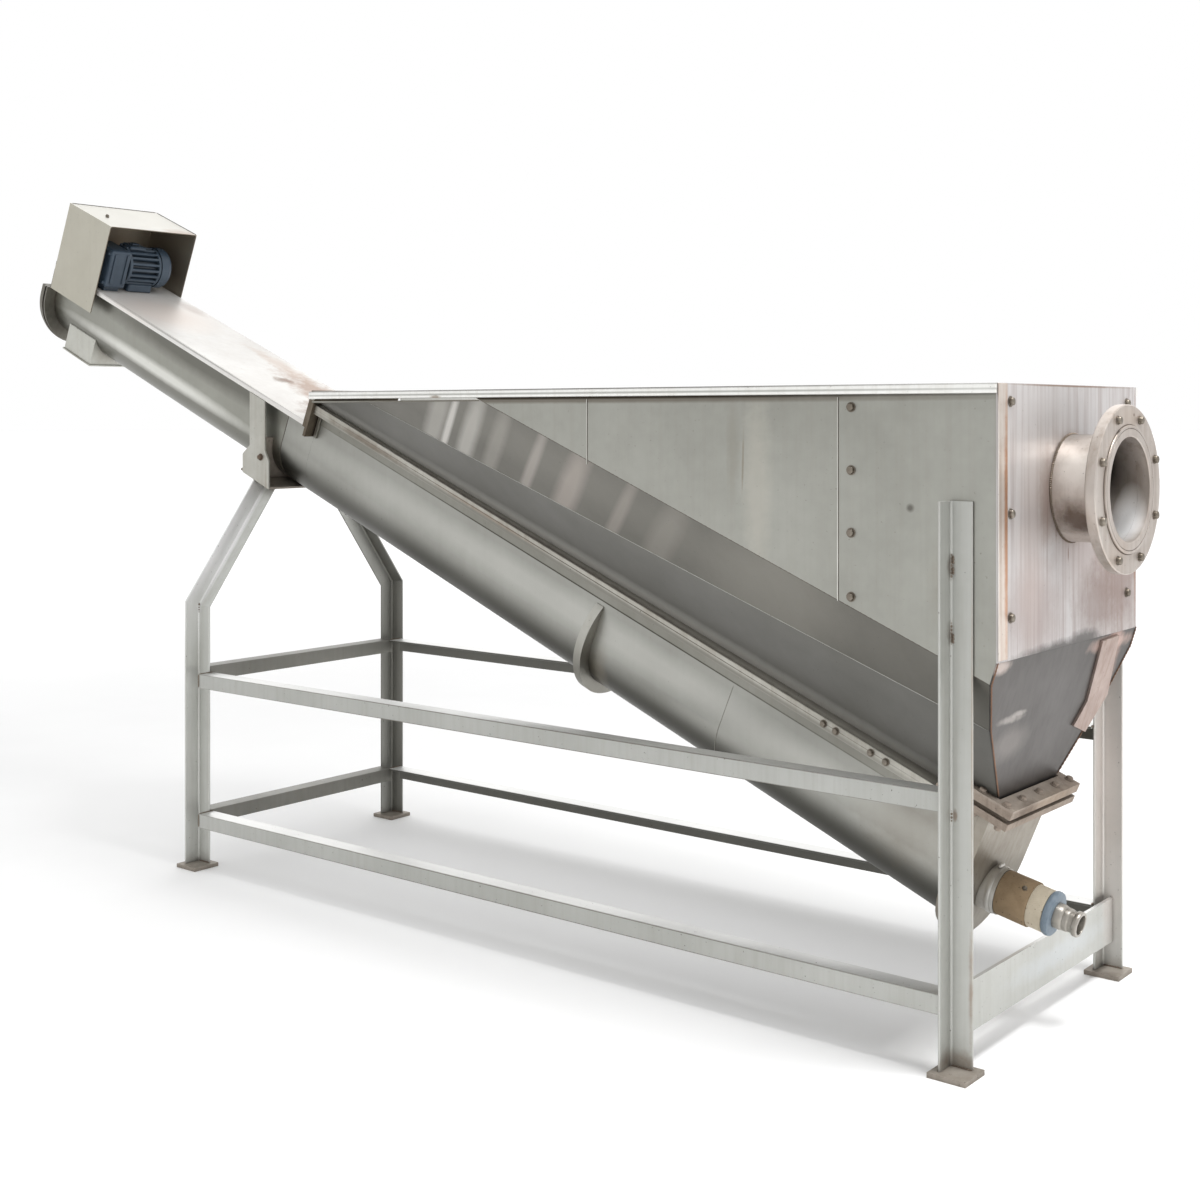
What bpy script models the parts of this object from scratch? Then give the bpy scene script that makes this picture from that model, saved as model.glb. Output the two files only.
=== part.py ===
"""Inclined screw conveyor with a wedge-shaped settling tank, on a welded angle frame.

Metres, Z up. The origin lies on the floor under the middle of the machine. +X runs from
the drive towards the tank's inlet, and the front of the machine faces -Y.
"""

import math

import bmesh
import bpy
import numpy as np
from mathutils import Vector

# Sheet, joints and the length of the machine
GAP = 0.0003
SHEET = 0.003
INLET_WALL_X = 1.7121

# Trough: its axis passes through TROUGH_MID and falls towards +X
SLOPE = math.radians(22.5)
TROUGH_MID = (INLET_WALL_X - 1.6, 0, 0.878)
TROUGH_RADIUS = 0.125
TROUGH_WALL = 0.004
TROUGH_UPPER_END = -2.0
TROUGH_LOWER_END = 1.5
TAIL = -0.65
COVERED_SIDE = 0.1067
OPEN_SIDE = 0.1597
SEAT_HEIGHT = 0.165

# Tank
TANK_HALF_WIDTH = 0.345
RIM_TOP = 1.313
RIM_DEPTH = 0.020
RIM_BAR = 0.008
DECK_TOP = 1.288
UPPER_PANEL_ANGLE = math.radians(58.5)
LOWER_PANEL_ANGLE = math.radians(50)
FOLD_HEIGHT = 0.482
FOOT_AT_TAIL = 0.1276
FOOT_AT_END = 0.102
END_KINK_Z = 0.785
END_LEAN = 0.315
BRACKET_FOOT_Z = 0.567
RIM_CORNER_X = INLET_WALL_X - 1.93
RIM_TAIL = (INLET_WALL_X - 2.13, 0.16)

# Bolted flange between tank and trough at the low end
FLANGE_START = 1.42
FLANGE_END = 1.588
FLANGE_HALF_WIDTH = 0.165

# Inlet
INLET_Z = 1.1035
INLET_BORE = 0.1055
INLET_PIPE = 0.1095
INLET_FLANGE = 0.170
INLET_FACE = 0.122
FLANGE_BACK = 0.096
RAISED_FACE = 0.135

# Frame of 50 x 50 x 5 angle
ANGLE = 0.050
ANGLE_WALL = 0.005
RAIL_HEIGHT = 0.038
RAIL_SETBACK = 0.010
RIGHT_LEG_X = INLET_WALL_X - 0.0734
LEFT_LEG_X = INLET_WALL_X - 2.376
LEG_Y = TANK_HALF_WIDTH + GAP + ANGLE / 2
RIGHT_LEG_TOP = 1.088
KNEE_Z = 0.727
BRACE_LEAN = math.radians(35.8)
FOOT_SIDE = 0.080
FOOT_THICKNESS = 0.010
RAIL_TOPS = {"upper": 0.537, "lower": 0.152}
FAR_RAIL_TOPS = {"upper": 0.555, "lower": 0.157}

# Saddle under the upper trough
SADDLE_RANGE = (-0.88, -0.74)
SADDLE_HALF_WIDTH = 0.150
SADDLE_PLATE = 0.006
SADDLE_BOTTOM = -TROUGH_RADIUS - 0.001 - SADDLE_PLATE

# Drive
HOOD_BACK = -1.98
HOOD_FRONT = -1.74
HOOD_HALF_WIDTH = 0.165
HOOD_TOP = 0.325
HOOD_SKIRT = 0.035
COVER_TOP = 0.110
MOTOR_AT = (-1.795, 0.186)
MOTOR_RADIUS = 0.064

# Screw
SHAFT_RADIUS = 0.030
FLIGHT_RADIUS = 0.105
FLIGHT_PITCH = 0.200
FLIGHT_RANGE = (-1.62, 1.46)
FLIGHT_PLATE = 0.005
FLIGHT_LENGTHS = ("head", "middle", "tail")

# Drain
DRAIN_START = (INLET_WALL_X - 0.158, 0, 0.254)
DRAIN_FALL = math.radians(12.6)

# Ways to lay an outline: its x and y run along these axes
ALONG_X_Y = (0, 0, 0)
ALONG_X_Z = (math.pi / 2, 0, 0)
ALONG_Y_Z = (math.pi / 2, 0, math.pi / 2)

for leftover in list(bpy.data.objects):
    bpy.data.objects.remove(leftover, do_unlink=True)

PARTS = bpy.data.collections.new("screw_conveyor")
CUTTERS = bpy.data.collections.new("cutters")
bpy.context.scene.collection.children.link(PARTS)
bpy.context.scene.collection.children.link(CUTTERS)

slope = bpy.data.objects.new("slope", None)
slope.location = TROUGH_MID
slope.rotation_euler = (0, SLOPE, 0)
PARTS.objects.link(slope)


# Materials

def metal(name, colour, roughness, metallic=1.0):
    """A Principled material of one colour."""
    made = bpy.data.materials.new(name)
    made.use_nodes = True
    shader = made.node_tree.nodes["Principled BSDF"]
    shader.inputs["Base Color"].default_value = (*colour, 1)
    shader.inputs["Roughness"].default_value = roughness
    shader.inputs["Metallic"].default_value = metallic
    return made


STAINLESS = metal("satin_stainless", (0.36, 0.36, 0.34), 0.42)
STAINED = metal("stained_stainless", (0.42, 0.37, 0.34), 0.50)
BARE_STEEL = metal("frame_stainless", (0.45, 0.45, 0.43), 0.45)
GRIMY = metal("grimy_steel", (0.22, 0.19, 0.16), 0.65)
CORRODED = metal("corroded_flange", (0.30, 0.25, 0.22), 0.75, 0.7)
GASKET = metal("gasket_rubber", (0.05, 0.045, 0.04), 0.80, 0.0)
ENAMEL = metal("blue_grey_enamel", (0.07, 0.10, 0.14), 0.45, 0.0)
CLAMP = metal("clamp_steel", (0.55, 0.55, 0.54), 0.35)
HOSE = metal("canvas_hose", (0.36, 0.26, 0.16), 0.90, 0.0)
BLUE_RING = metal("blue_plastic", (0.10, 0.16, 0.25), 0.50, 0.0)


# Ways of making a piece

def place(obj, material, parent=None):
    """Puts a finished object among the parts, under its parent and with its material."""
    PARTS.objects.link(obj)
    obj.parent = parent
    obj.data.materials.clear()
    obj.data.materials.append(material)
    return obj


def box(name, low, high, material, parent=None):
    """A block between two corners."""
    low, high = Vector(low), Vector(high)
    mesh = bpy.data.meshes.new(name)
    shape = bmesh.new()
    bmesh.ops.create_cube(shape, size=1)
    bmesh.ops.scale(shape, vec=high - low, verts=shape.verts)
    shape.to_mesh(mesh)
    shape.free()
    obj = bpy.data.objects.new(name, mesh)
    obj.location = (low + high) / 2
    return place(obj, material, parent)


def plate(name, loops, thickness, centre, turn, material, parent=None):
    """A flat outline with its holes, given a thickness to both sides of its plane."""
    curve = bpy.data.curves.new(name, "CURVE")
    curve.dimensions = "2D"
    curve.fill_mode = "BOTH"
    curve.extrude = thickness / 2
    for loop in loops:
        spline = curve.splines.new("POLY")
        spline.points.add(len(loop) - 1)
        for point, (x, y) in zip(spline.points, loop):
            point.co = (x, y, 0, 1)
        spline.use_cyclic_u = True
    obj = bpy.data.objects.new(name, curve)
    obj.location = centre
    obj.rotation_euler = turn
    return place(obj, material, parent)


def as_mesh(obj):
    """Turns a curve object into a mesh object of the same name and place."""
    bpy.context.view_layer.update()
    seen = obj.evaluated_get(bpy.context.evaluated_depsgraph_get())
    mesh = bpy.data.meshes.new_from_object(seen)
    shape = bmesh.new()
    shape.from_mesh(mesh)
    bmesh.ops.remove_doubles(shape, verts=shape.verts, dist=0.00001)
    shape.to_mesh(mesh)
    shape.free()
    name, where = obj.name, obj.matrix_world.copy()
    material = obj.data.materials[0]
    bpy.data.objects.remove(obj)
    made = bpy.data.objects.new(name, mesh)
    made.matrix_world = where
    return place(made, material)


def turned(name, profile, centre, turn, material, parent=None, steps=48):
    """A profile of (radius, height) points, spun about its own Z axis."""
    closed = all(radius > 0 for radius, _ in profile)
    count = len(profile)
    edges = [(i, (i + 1) % count) for i in range(count if closed else count - 1)]
    mesh = bpy.data.meshes.new(name)
    mesh.from_pydata([(radius, 0, height) for radius, height in profile], edges, [])
    obj = bpy.data.objects.new(name, mesh)
    obj.location = centre
    obj.rotation_euler = turn
    spin = obj.modifiers.new("spin", "SCREW")
    spin.steps = steps
    spin.render_steps = steps
    spin.use_merge_vertices = True
    spin.merge_threshold = 0.00001
    spin.use_smooth_shade = True
    return place(obj, material, parent)


def ring(outer, inner, low, high):
    """The profile of a plain tube, run down its outer side."""
    return [(outer, high), (outer, low), (inner, low), (inner, high)]


def cut(obj, tool):
    """Takes a tool's shape out of a piece."""
    tool.hide_render = True
    tool.display_type = "WIRE"
    if tool.name not in CUTTERS.objects:
        PARTS.objects.unlink(tool)
        CUTTERS.objects.link(tool)
    step = obj.modifiers.new(tool.name, "BOOLEAN")
    step.operation = "DIFFERENCE"
    step.object = tool
    return obj


def join(obj, other):
    """Fuses another shape into a piece."""
    cut(obj, other).modifiers[-1].operation = "UNION"
    return obj


# Planes are kept as (outward normal, distance), so that sheets can meet in clean corners

def plane(normal, point):
    """The plane through a point."""
    normal = Vector(normal).normalized()
    return normal, normal.dot(Vector(point))


def moved(surface, distance):
    """The plane shifted along its normal."""
    return surface[0], surface[1] + distance


def mitre(own, other):
    """The plane that halves the corner of two sheets, half a gap inside the first one."""
    normal = other[0] - own[0]
    length = normal.length
    return normal / length, (other[1] - own[1]) / length - GAP / 2


def corner(first, second, third):
    """The point where three planes meet."""
    normals = [tuple(surface[0]) for surface in (first, second, third)]
    distances = [surface[1] for surface in (first, second, third)]
    return Vector(np.linalg.solve(np.array(normals), np.array(distances)))


def sheet(name, face, edges, material, thickness=SHEET):
    """A flat sheet behind its outer face, cut off by the planes of its edges in turn."""
    back = moved(face, -thickness)
    shape = bmesh.new()
    for i, edge in enumerate(edges):
        for side in (face, back):
            shape.verts.new(corner(side, edges[i - 1], edge))
    bmesh.ops.convex_hull(shape, input=shape.verts)
    bmesh.ops.recalc_face_normals(shape, faces=shape.faces)
    mesh = bpy.data.meshes.new(name)
    shape.to_mesh(mesh)
    shape.free()
    return place(bpy.data.objects.new(name, mesh), material)


def beyond(name, surface):
    """A large block on the far side of a plane, to cut a piece off along it."""
    normal, distance = surface
    tool = box(name, (-3, -3, 0), (3, 3, 6), GRIMY)
    tool.rotation_euler = normal.to_track_quat("Z", "Y").to_euler()
    tool.location = normal * (distance + 3)
    return tool


# Directions and points of the sloping trough

DOWN = Vector((math.cos(SLOPE), 0, -math.sin(SLOPE)))
SQUARE = Vector((math.sin(SLOPE), 0, math.cos(SLOPE)))


def on_trough(along, across, height):
    """The point so far down the slope, to the back, and square up from the trough's axis."""
    return Vector(TROUGH_MID) + along * DOWN + height * SQUARE + Vector((0, across, 0))


def u_line(radius, top, steps=24):
    """A half round with straight sides up to a height, from one top end to the other."""
    turns = [math.pi * i / steps for i in range(steps + 1)]
    bottom = [(radius * math.cos(a), -radius * math.sin(a)) for a in turns]
    return [(radius, top), *bottom, (-radius, top)]


def u_band(outer, inner, top):
    """The outline of a U-shaped band, open at its top."""
    return [u_line(outer, top) + u_line(inner, top)[::-1]]


def across_trough(name, loops, start, end, material):
    """A profile in the plane square to the trough, run from one place to another along it."""
    middle = ((start + end) / 2, 0, 0)
    return plate(name, loops, end - start, middle, ALONG_Y_Z, material, slope)


# Trough

def make_trough():
    """Two U-shaped lengths; the lower one has taller sides, which carry the tank."""
    inner = TROUGH_RADIUS - TROUGH_WALL
    across_trough("trough_upper", u_band(TROUGH_RADIUS, inner, COVERED_SIDE),
                  TROUGH_UPPER_END, TAIL, STAINLESS)
    upper = as_mesh(bpy.data.objects["trough_upper"])
    chute_hole = box("chute_hole", (-1.903, -0.098, -0.20), (-1.764, 0.098, -0.05), GRIMY, slope)
    cut(upper, chute_hole)

    across_trough("trough_lower", u_band(TROUGH_RADIUS, inner, SEAT_HEIGHT - GAP),
                  TAIL + GAP, TROUGH_LOWER_END, STAINLESS)
    lower = as_mesh(bpy.data.objects["trough_lower"])
    low_sides = box("low_sides", (-1, -0.2, OPEN_SIDE), (FLANGE_START, 0.2, 0.3), GRIMY, slope)
    cut(lower, low_sides)


def make_trough_ring():
    """The flat ring round the lower trough: its round outer edge runs out at the trough's sides."""
    radius, centre, tip = 0.158, 0.005, math.radians(36.6)
    turns = [(math.pi + 2 * tip) * i / 40 - tip for i in range(41)]
    outer = [(radius * math.cos(a), centre - radius * math.sin(a)) for a in turns]
    inner = u_line(TROUGH_RADIUS + GAP, outer[0][1])
    across_trough("trough_ring", [outer + inner[::-1]], 0.449, 0.472, STAINLESS)


def make_end_plates():
    """A bolted flange and a closing plate at the low end, and one thick plate at the top end."""
    inner = TROUGH_RADIUS - TROUGH_WALL
    top = SEAT_HEIGHT - GAP
    start = TROUGH_LOWER_END + GAP
    across_trough("lower_end_flange", u_band(0.147, inner, top), start, start + 0.020, STAINLESS)
    across_trough("lower_end_plate", [u_line(0.147, top)], start + 0.020 + GAP, start + 0.044, STAINED)

    end = TROUGH_UPPER_END - GAP
    brim, neck, brim_top = 0.165, 0.128, HOOD_SKIRT - 0.005
    outline = [(neck, brim_top), *u_line(brim, brim_top), (-neck, brim_top), (-neck, COVER_TOP), (neck, COVER_TOP)]
    across_trough("upper_end_plate", [outline], end - 0.038, end, STAINLESS)


def make_cover():
    """The folded lid over the upper trough, and the pair of plates where it meets the tank."""
    inside, outside, lip = SADDLE_HALF_WIDTH, SADDLE_HALF_WIDTH + SHEET, 0.095
    under = COVER_TOP - SHEET
    outline = [(outside, lip), (outside, COVER_TOP), (-outside, COVER_TOP), (-outside, lip),
               (-inside, lip), (-inside, under), (inside, under), (inside, lip)]
    joint = TAIL - 0.020
    across_trough("cover_plate", [outline], TROUGH_UPPER_END, joint - GAP, STAINLESS)

    width, leg, bridge = 0.160, 0.070, COVERED_SIDE + GAP
    slot = TROUGH_RADIUS + GAP
    top = 0.2016
    outline = [(width, leg), (width, top), (-width, top), (-width, leg),
               (-slot, leg), (-slot, bridge), (slot, bridge), (slot, leg)]
    across_trough("tail_plate", [outline], TAIL - 0.010 + GAP, TAIL, STAINED)
    outline = [(x, lip if y == leg else y) for x, y in outline]
    across_trough("cover_end_flange", [outline], joint, TAIL - 0.010, STAINED)


def make_chute():
    """The square outlet under the top of the trough, coped to it, with a lip at its mouth."""
    start, end, half, mouth = -1.911, -1.756, 0.110, -0.150
    duct = box("discharge_chute", (start, -half, mouth), (end, half, -0.040), STAINLESS, slope)
    brim = 0.004
    lip = box("chute_lip", (start - brim, -half - brim, mouth),
              (end + brim, half + brim, mouth + brim), STAINLESS, slope)
    join(duct, lip)
    bore = box("chute_bore", (start + SHEET, SHEET - half, -0.3),
               (end - SHEET, half - SHEET, 0), STAINLESS, slope)
    cut(duct, bore)
    cope = turned("chute_cope", [(0, 0.2), (TROUGH_RADIUS + GAP, 0.2), (TROUGH_RADIUS + GAP, -0.2), (0, -0.2)],
                  ((start + end) / 2, 0, 0), (0, math.pi / 2, 0), STAINLESS, slope, 96)
    cut(duct, cope)


# Screw

def make_flight(name, start, end):
    """One length of the flight: a strip along the helix, thickened to plate."""
    count = round((end - start) / FLIGHT_PITCH * 18)
    strip = bmesh.new()
    rows = []
    for i in range(count + 1):
        along = start + (end - start) * i / count
        angle = 2 * math.pi * (along - FLIGHT_RANGE[0]) / FLIGHT_PITCH
        ray = Vector((0, math.cos(angle), math.sin(angle)))
        radii = (SHAFT_RADIUS + 0.001, FLIGHT_RADIUS)
        rows.append([strip.verts.new(Vector((along, 0, 0)) + ray * radius) for radius in radii])
    for row, following in zip(rows, rows[1:]):
        strip.faces.new((row[0], row[1], following[1], following[0]))
    mesh = bpy.data.meshes.new(name)
    strip.to_mesh(mesh)
    strip.free()
    flight = place(bpy.data.objects.new(name, mesh), BARE_STEEL, slope)
    wall = flight.modifiers.new("wall", "SOLIDIFY")
    wall.thickness = FLIGHT_PLATE
    wall.offset = 0


def make_screw():
    """A solid shaft with one helical flight, which comes in three lengths set end to end."""
    low, high = TROUGH_UPPER_END, TROUGH_LOWER_END + 0.020
    turned("screw_shaft", [(0, high), (SHAFT_RADIUS, high), (SHAFT_RADIUS, low), (0, low)],
           (0, 0, 0), (0, math.pi / 2, 0), BARE_STEEL, slope, 24)
    start, end = FLIGHT_RANGE
    length = (end - start) / len(FLIGHT_LENGTHS)
    for i, label in enumerate(FLIGHT_LENGTHS):
        make_flight(f"screw_flight_{label}", start + i * length, start + (i + 1) * length - GAP)


# Tank

END_WALL = plane((1, 0, 0), (INLET_WALL_X, 0, 0))
END_SLOPE = plane((1, 0, -END_LEAN), (INLET_WALL_X, 0, END_KINK_Z))
RIM_LEVEL = plane((0, 0, 1), (0, 0, RIM_TOP))
DECK_LEVEL = plane((0, 0, 1), (0, 0, DECK_TOP))
SEAT = plane(-SQUARE, on_trough(0, 0, SEAT_HEIGHT + GAP))
TAIL_FACE = plane(-DOWN, on_trough(TAIL + GAP, 0, 0))


def side_planes(side):
    """The outer faces of one side: upright wall, upper panel, lower panel and rim chamfer."""
    out = Vector((0, side, 0))
    wall = plane(out, out * TANK_HALF_WIDTH)
    fold = on_trough(0, side * TANK_HALF_WIDTH, FOLD_HEIGHT)
    upper = plane(out * math.sin(UPPER_PANEL_ANGLE) - SQUARE * math.cos(UPPER_PANEL_ANGLE), fold)
    tail_foot = on_trough(TAIL, side * FOOT_AT_TAIL, SEAT_HEIGHT)
    end_foot = on_trough(FLANGE_END, side * FOOT_AT_END, SEAT_HEIGHT)
    rise = out * math.cos(LOWER_PANEL_ANGLE) + SQUARE * math.sin(LOWER_PANEL_ANGLE)
    lower = plane((end_foot - tail_foot).cross(rise) * -side, tail_foot)
    run = Vector((RIM_CORNER_X - RIM_TAIL[0], side * (TANK_HALF_WIDTH - RIM_TAIL[1]), 0))
    chamfer = plane(run.cross(Vector((0, 0, side))) * -1, (RIM_TAIL[0], side * RIM_TAIL[1], 0))
    return wall, upper, lower, chamfer


def make_tank_side(label, side):
    """One side of the tank: a wall, two sloping panels, a deck, the rim and the foot angle."""
    wall, upper, lower, chamfer = side_planes(side)
    inside_end = moved(END_WALL, -SHEET - GAP)
    inside_slope = moved(END_SLOPE, -SHEET - GAP)
    sheet(f"tank_wall_{label}", wall,
          [RIM_LEVEL, inside_end, inside_slope, mitre(wall, upper)], STAINLESS)
    sheet(f"upper_panel_{label}", upper,
          [DECK_LEVEL, mitre(upper, wall), inside_slope, mitre(upper, lower)], STAINLESS)
    sheet(f"lower_panel_{label}", lower,
          [DECK_LEVEL, mitre(lower, upper), inside_slope, SEAT, TAIL_FACE], STAINLESS)

    clear_upper, clear_lower = moved(upper, GAP), moved(lower, GAP)
    points = [corner(DECK_LEVEL, wall, clear_upper), corner(DECK_LEVEL, wall, chamfer),
              corner(DECK_LEVEL, chamfer, TAIL_FACE), corner(DECK_LEVEL, TAIL_FACE, clear_lower),
              corner(DECK_LEVEL, clear_lower, clear_upper)]
    plate(f"deck_plate_{label}", [[(point.x, point.y) for point in points]], SHEET,
          (0, 0, DECK_TOP - SHEET / 2), ALONG_X_Y, STAINLESS)

    points = []
    for depth in (GAP, RIM_BAR + GAP):
        bar, end_bar = moved(wall, depth), moved(chamfer, depth)
        run = [corner(RIM_LEVEL, edge, other) for edge, other in
               ((END_WALL, bar), (bar, end_bar), (end_bar, plane((1, 0, 0), (RIM_TAIL[0] - 0.05, 0, 0))))]
        points += run if depth == GAP else run[::-1]
    rim = as_mesh(plate(f"rim_{label}", [[(point.x, point.y) for point in points]], RIM_DEPTH,
                        (0, 0, RIM_TOP - RIM_DEPTH / 2), ALONG_X_Y, BARE_STEEL))
    cut(rim, beyond(f"rim_end_{label}", TAIL_FACE))

    edge, inner, wall_in, drop = 0.150, 0.098, 0.145, 0.140
    top, under = SEAT_HEIGHT, SEAT_HEIGHT - ANGLE_WALL
    outline = [(inner, under), (inner, top), (edge, top), (edge, drop), (wall_in, drop), (wall_in, under)]
    across_trough(f"tank_foot_angle_{label}", [[(side * x, y) for x, y in outline]],
                  TAIL + GAP, FLANGE_START - GAP, STAINED)


def make_tank_end():
    """The inlet wall with its round hole, and the sloping panel below it."""
    front, back = side_planes(-1), side_planes(1)
    wall = sheet("tank_end_wall", END_WALL,
                 [RIM_LEVEL, front[0], mitre(END_WALL, END_SLOPE), back[0]], STAINED)
    hole = turned("inlet_hole", [(0, 0.1), (INLET_PIPE + GAP, 0.1), (INLET_PIPE + GAP, -0.1), (0, -0.1)],
                  (INLET_WALL_X, 0, INLET_Z), (0, math.pi / 2, 0), STAINED)
    cut(wall, hole)
    edges = [mitre(END_SLOPE, END_WALL), front[0], front[1], front[2], SEAT, back[2], back[1], back[0]]
    sheet("tank_end_slope", END_SLOPE, edges, STAINED)


def make_bolted_flange():
    """The flange of the tank, the flange of the trough and the gasket between, open up the slope."""
    inside_end = TROUGH_LOWER_END + 0.0465
    layers = [("trough_top_flange", 0.165, 0.180, 0.1195, FLANGE_HALF_WIDTH, CORRODED),
              ("flange_gasket", 0.180 + GAP, 0.190 - GAP, 0.1255, FLANGE_HALF_WIDTH - 0.007, GASKET),
              ("tank_bottom_flange", 0.190, 0.210, 0.1422, FLANGE_HALF_WIDTH, CORRODED)]
    for name, low, high, opening, half, material in layers:
        end = FLANGE_END - (FLANGE_HALF_WIDTH - half)
        outline = [(FLANGE_START, half), (end, half), (end, -half), (FLANGE_START, -half),
                   (FLANGE_START, -opening), (inside_end, -opening),
                   (inside_end, opening), (FLANGE_START, opening)]
        plate(name, [outline], high - low, (0, 0, (low + high) / 2), ALONG_X_Y, material, slope)


def make_inlet():
    """A short pipe through the end wall, and its flange with a raised face."""
    turn = (0, math.pi / 2, 0)
    centre = (INLET_WALL_X, 0, INLET_Z)
    turned("inlet_pipe", ring(INLET_PIPE, INLET_BORE, -0.020, FLANGE_BACK - GAP), centre, turn, STAINED, None, 64)
    profile = [(INLET_BORE, INLET_FACE), (RAISED_FACE, INLET_FACE), (RAISED_FACE, INLET_FACE - 0.004),
               (INLET_FLANGE, INLET_FACE - 0.004), (INLET_FLANGE, FLANGE_BACK), (INLET_BORE, FLANGE_BACK)]
    turned("inlet_flange", profile, centre, turn, STAINED, None, 64)


def make_corner_bracket():
    """The strip welded over the back edge of the sloping end, bent where that edge bends."""
    _, upper, lower, _ = side_planes(1)
    level = plane((0, 0, 1), (0, 0, BRACKET_FOOT_Z))
    shoulder, foot = corner(END_SLOPE, upper, lower), corner(END_SLOPE, lower, level)
    lap = 0.004
    places = [(shoulder.y - 0.125, END_KINK_Z - 0.010), (shoulder.y - 0.037, END_KINK_Z - 0.006),
              (shoulder.y + lap, shoulder.z), (foot.y + lap, foot.z), (foot.y - 0.075, foot.z + 0.025),
              (shoulder.y - 0.106, shoulder.z)]
    lean = math.atan(END_LEAN)
    outline = [(y, (z - END_KINK_Z) / math.cos(lean)) for y, z in places]
    middle = Vector((INLET_WALL_X, 0, END_KINK_Z)) + END_SLOPE[0] * (GAP + ANGLE_WALL / 2)
    plate("corner_bracket", [outline], ANGLE_WALL, middle, (math.pi / 2 + lean, 0, math.pi / 2), STAINED)


# Frame

LEG_OUTLINE = [(-ANGLE / 2, -ANGLE / 2), (ANGLE_WALL - ANGLE / 2, -ANGLE / 2),
               (ANGLE_WALL - ANGLE / 2, ANGLE / 2 - ANGLE_WALL), (ANGLE / 2, ANGLE / 2 - ANGLE_WALL),
               (ANGLE / 2, ANGLE / 2), (-ANGLE / 2, ANGLE / 2)]


def bent_bar(name, outline, heading, stops, material):
    """An outline carried from plane to plane, turning at each, as a mitred and welded bar."""
    body = bmesh.new()
    points = [heading + Vector((x, y, 0)) for x, y in outline]
    rings = []
    run = Vector((0, 0, 1))
    for (normal, distance), following in stops:
        points = [point + run * ((distance - normal.dot(point)) / normal.dot(run)) for point in points]
        rings.append([body.verts.new(point) for point in points])
        run = following
    body.faces.new(rings[0][::-1])
    body.faces.new(rings[-1])
    for low, high in zip(rings, rings[1:]):
        for i in range(len(outline)):
            body.faces.new((low[i - 1], low[i], high[i], high[i - 1]))
    bmesh.ops.recalc_face_normals(body, faces=body.faces)
    mesh = bpy.data.meshes.new(name)
    body.to_mesh(mesh)
    body.free()
    return place(bpy.data.objects.new(name, mesh), material)


def make_legs():
    """Four angle posts on foot plates; the left ones bend inwards at the knee, up to the saddle."""
    base = FOOT_THICKNESS + GAP
    half = FOOT_SIDE / 2
    up = Vector((0, 0, 1))
    saddle = plane(SQUARE, on_trough(0, 0, SADDLE_BOTTOM - GAP))
    for end, x in (("right", RIGHT_LEG_X), ("left", LEFT_LEG_X)):
        for label, side in (("front", -1), ("back", 1)):
            y = side * LEG_Y
            box(f"foot_plate_{label}_{end}", (x - half, y - half, 0),
                (x + half, y + half, FOOT_THICKNESS), GRIMY)
            stops = [(plane(up, (0, 0, base)), up)]
            if end == "right":
                stops.append((plane(up, (0, 0, RIGHT_LEG_TOP)), up))
            else:
                lean = -side * BRACE_LEAN
                halfway = Vector((0, math.sin(lean / 2), math.cos(lean / 2)))
                inwards = Vector((0, math.sin(lean), math.cos(lean)))
                stops += [(plane(halfway, (x, y, KNEE_Z)), inwards), (saddle, up)]
            bent_bar(f"leg_{label}_{end}", LEG_OUTLINE, Vector((x, y, 0)), stops, BARE_STEEL)


def make_rails():
    """Angle rails between the legs on three sides, and a flat bar across the low end."""
    half = ANGLE / 2
    left, right = LEFT_LEG_X + half + GAP, RIGHT_LEG_X - half - GAP
    for level in RAIL_TOPS:
        for label, side in (("front", -1), ("back", 1)):
            top = RAIL_TOPS[level] if side < 0 else FAR_RAIL_TOPS[level]
            outer = side * (LEG_Y + half - RAIL_SETBACK)
            wall, inner = outer - side * ANGLE_WALL, outer - side * ANGLE
            outline = [(outer, top), (outer, top - RAIL_HEIGHT), (wall, top - RAIL_HEIGHT),
                       (wall, top - ANGLE_WALL), (inner, top - ANGLE_WALL), (inner, top)]
            plate(f"{level}_rail_{label}", [outline], right - left, ((left + right) / 2, 0, 0),
                  ALONG_Y_Z, BARE_STEEL)
        top = FAR_RAIL_TOPS[level]
        low_x, high_x = LEFT_LEG_X - half, LEFT_LEG_X + half
        outline = [(high_x, top), (low_x, top), (low_x, top - ANGLE_WALL),
                   (high_x - ANGLE_WALL, top - ANGLE_WALL), (high_x - ANGLE_WALL, top - RAIL_HEIGHT),
                   (high_x, top - RAIL_HEIGHT)]
        plate(f"{level}_rail_left", [outline], 2 * (LEG_Y - half - GAP), (0, 0, 0), ALONG_X_Z, BARE_STEEL)
    bar_x = RIGHT_LEG_X - 0.0046
    box("end_crossbar", (bar_x, -LEG_Y + half + GAP, 0.068),
        (bar_x + 0.008, LEG_Y + half - ANGLE_WALL - GAP, 0.166), BARE_STEEL)


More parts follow.
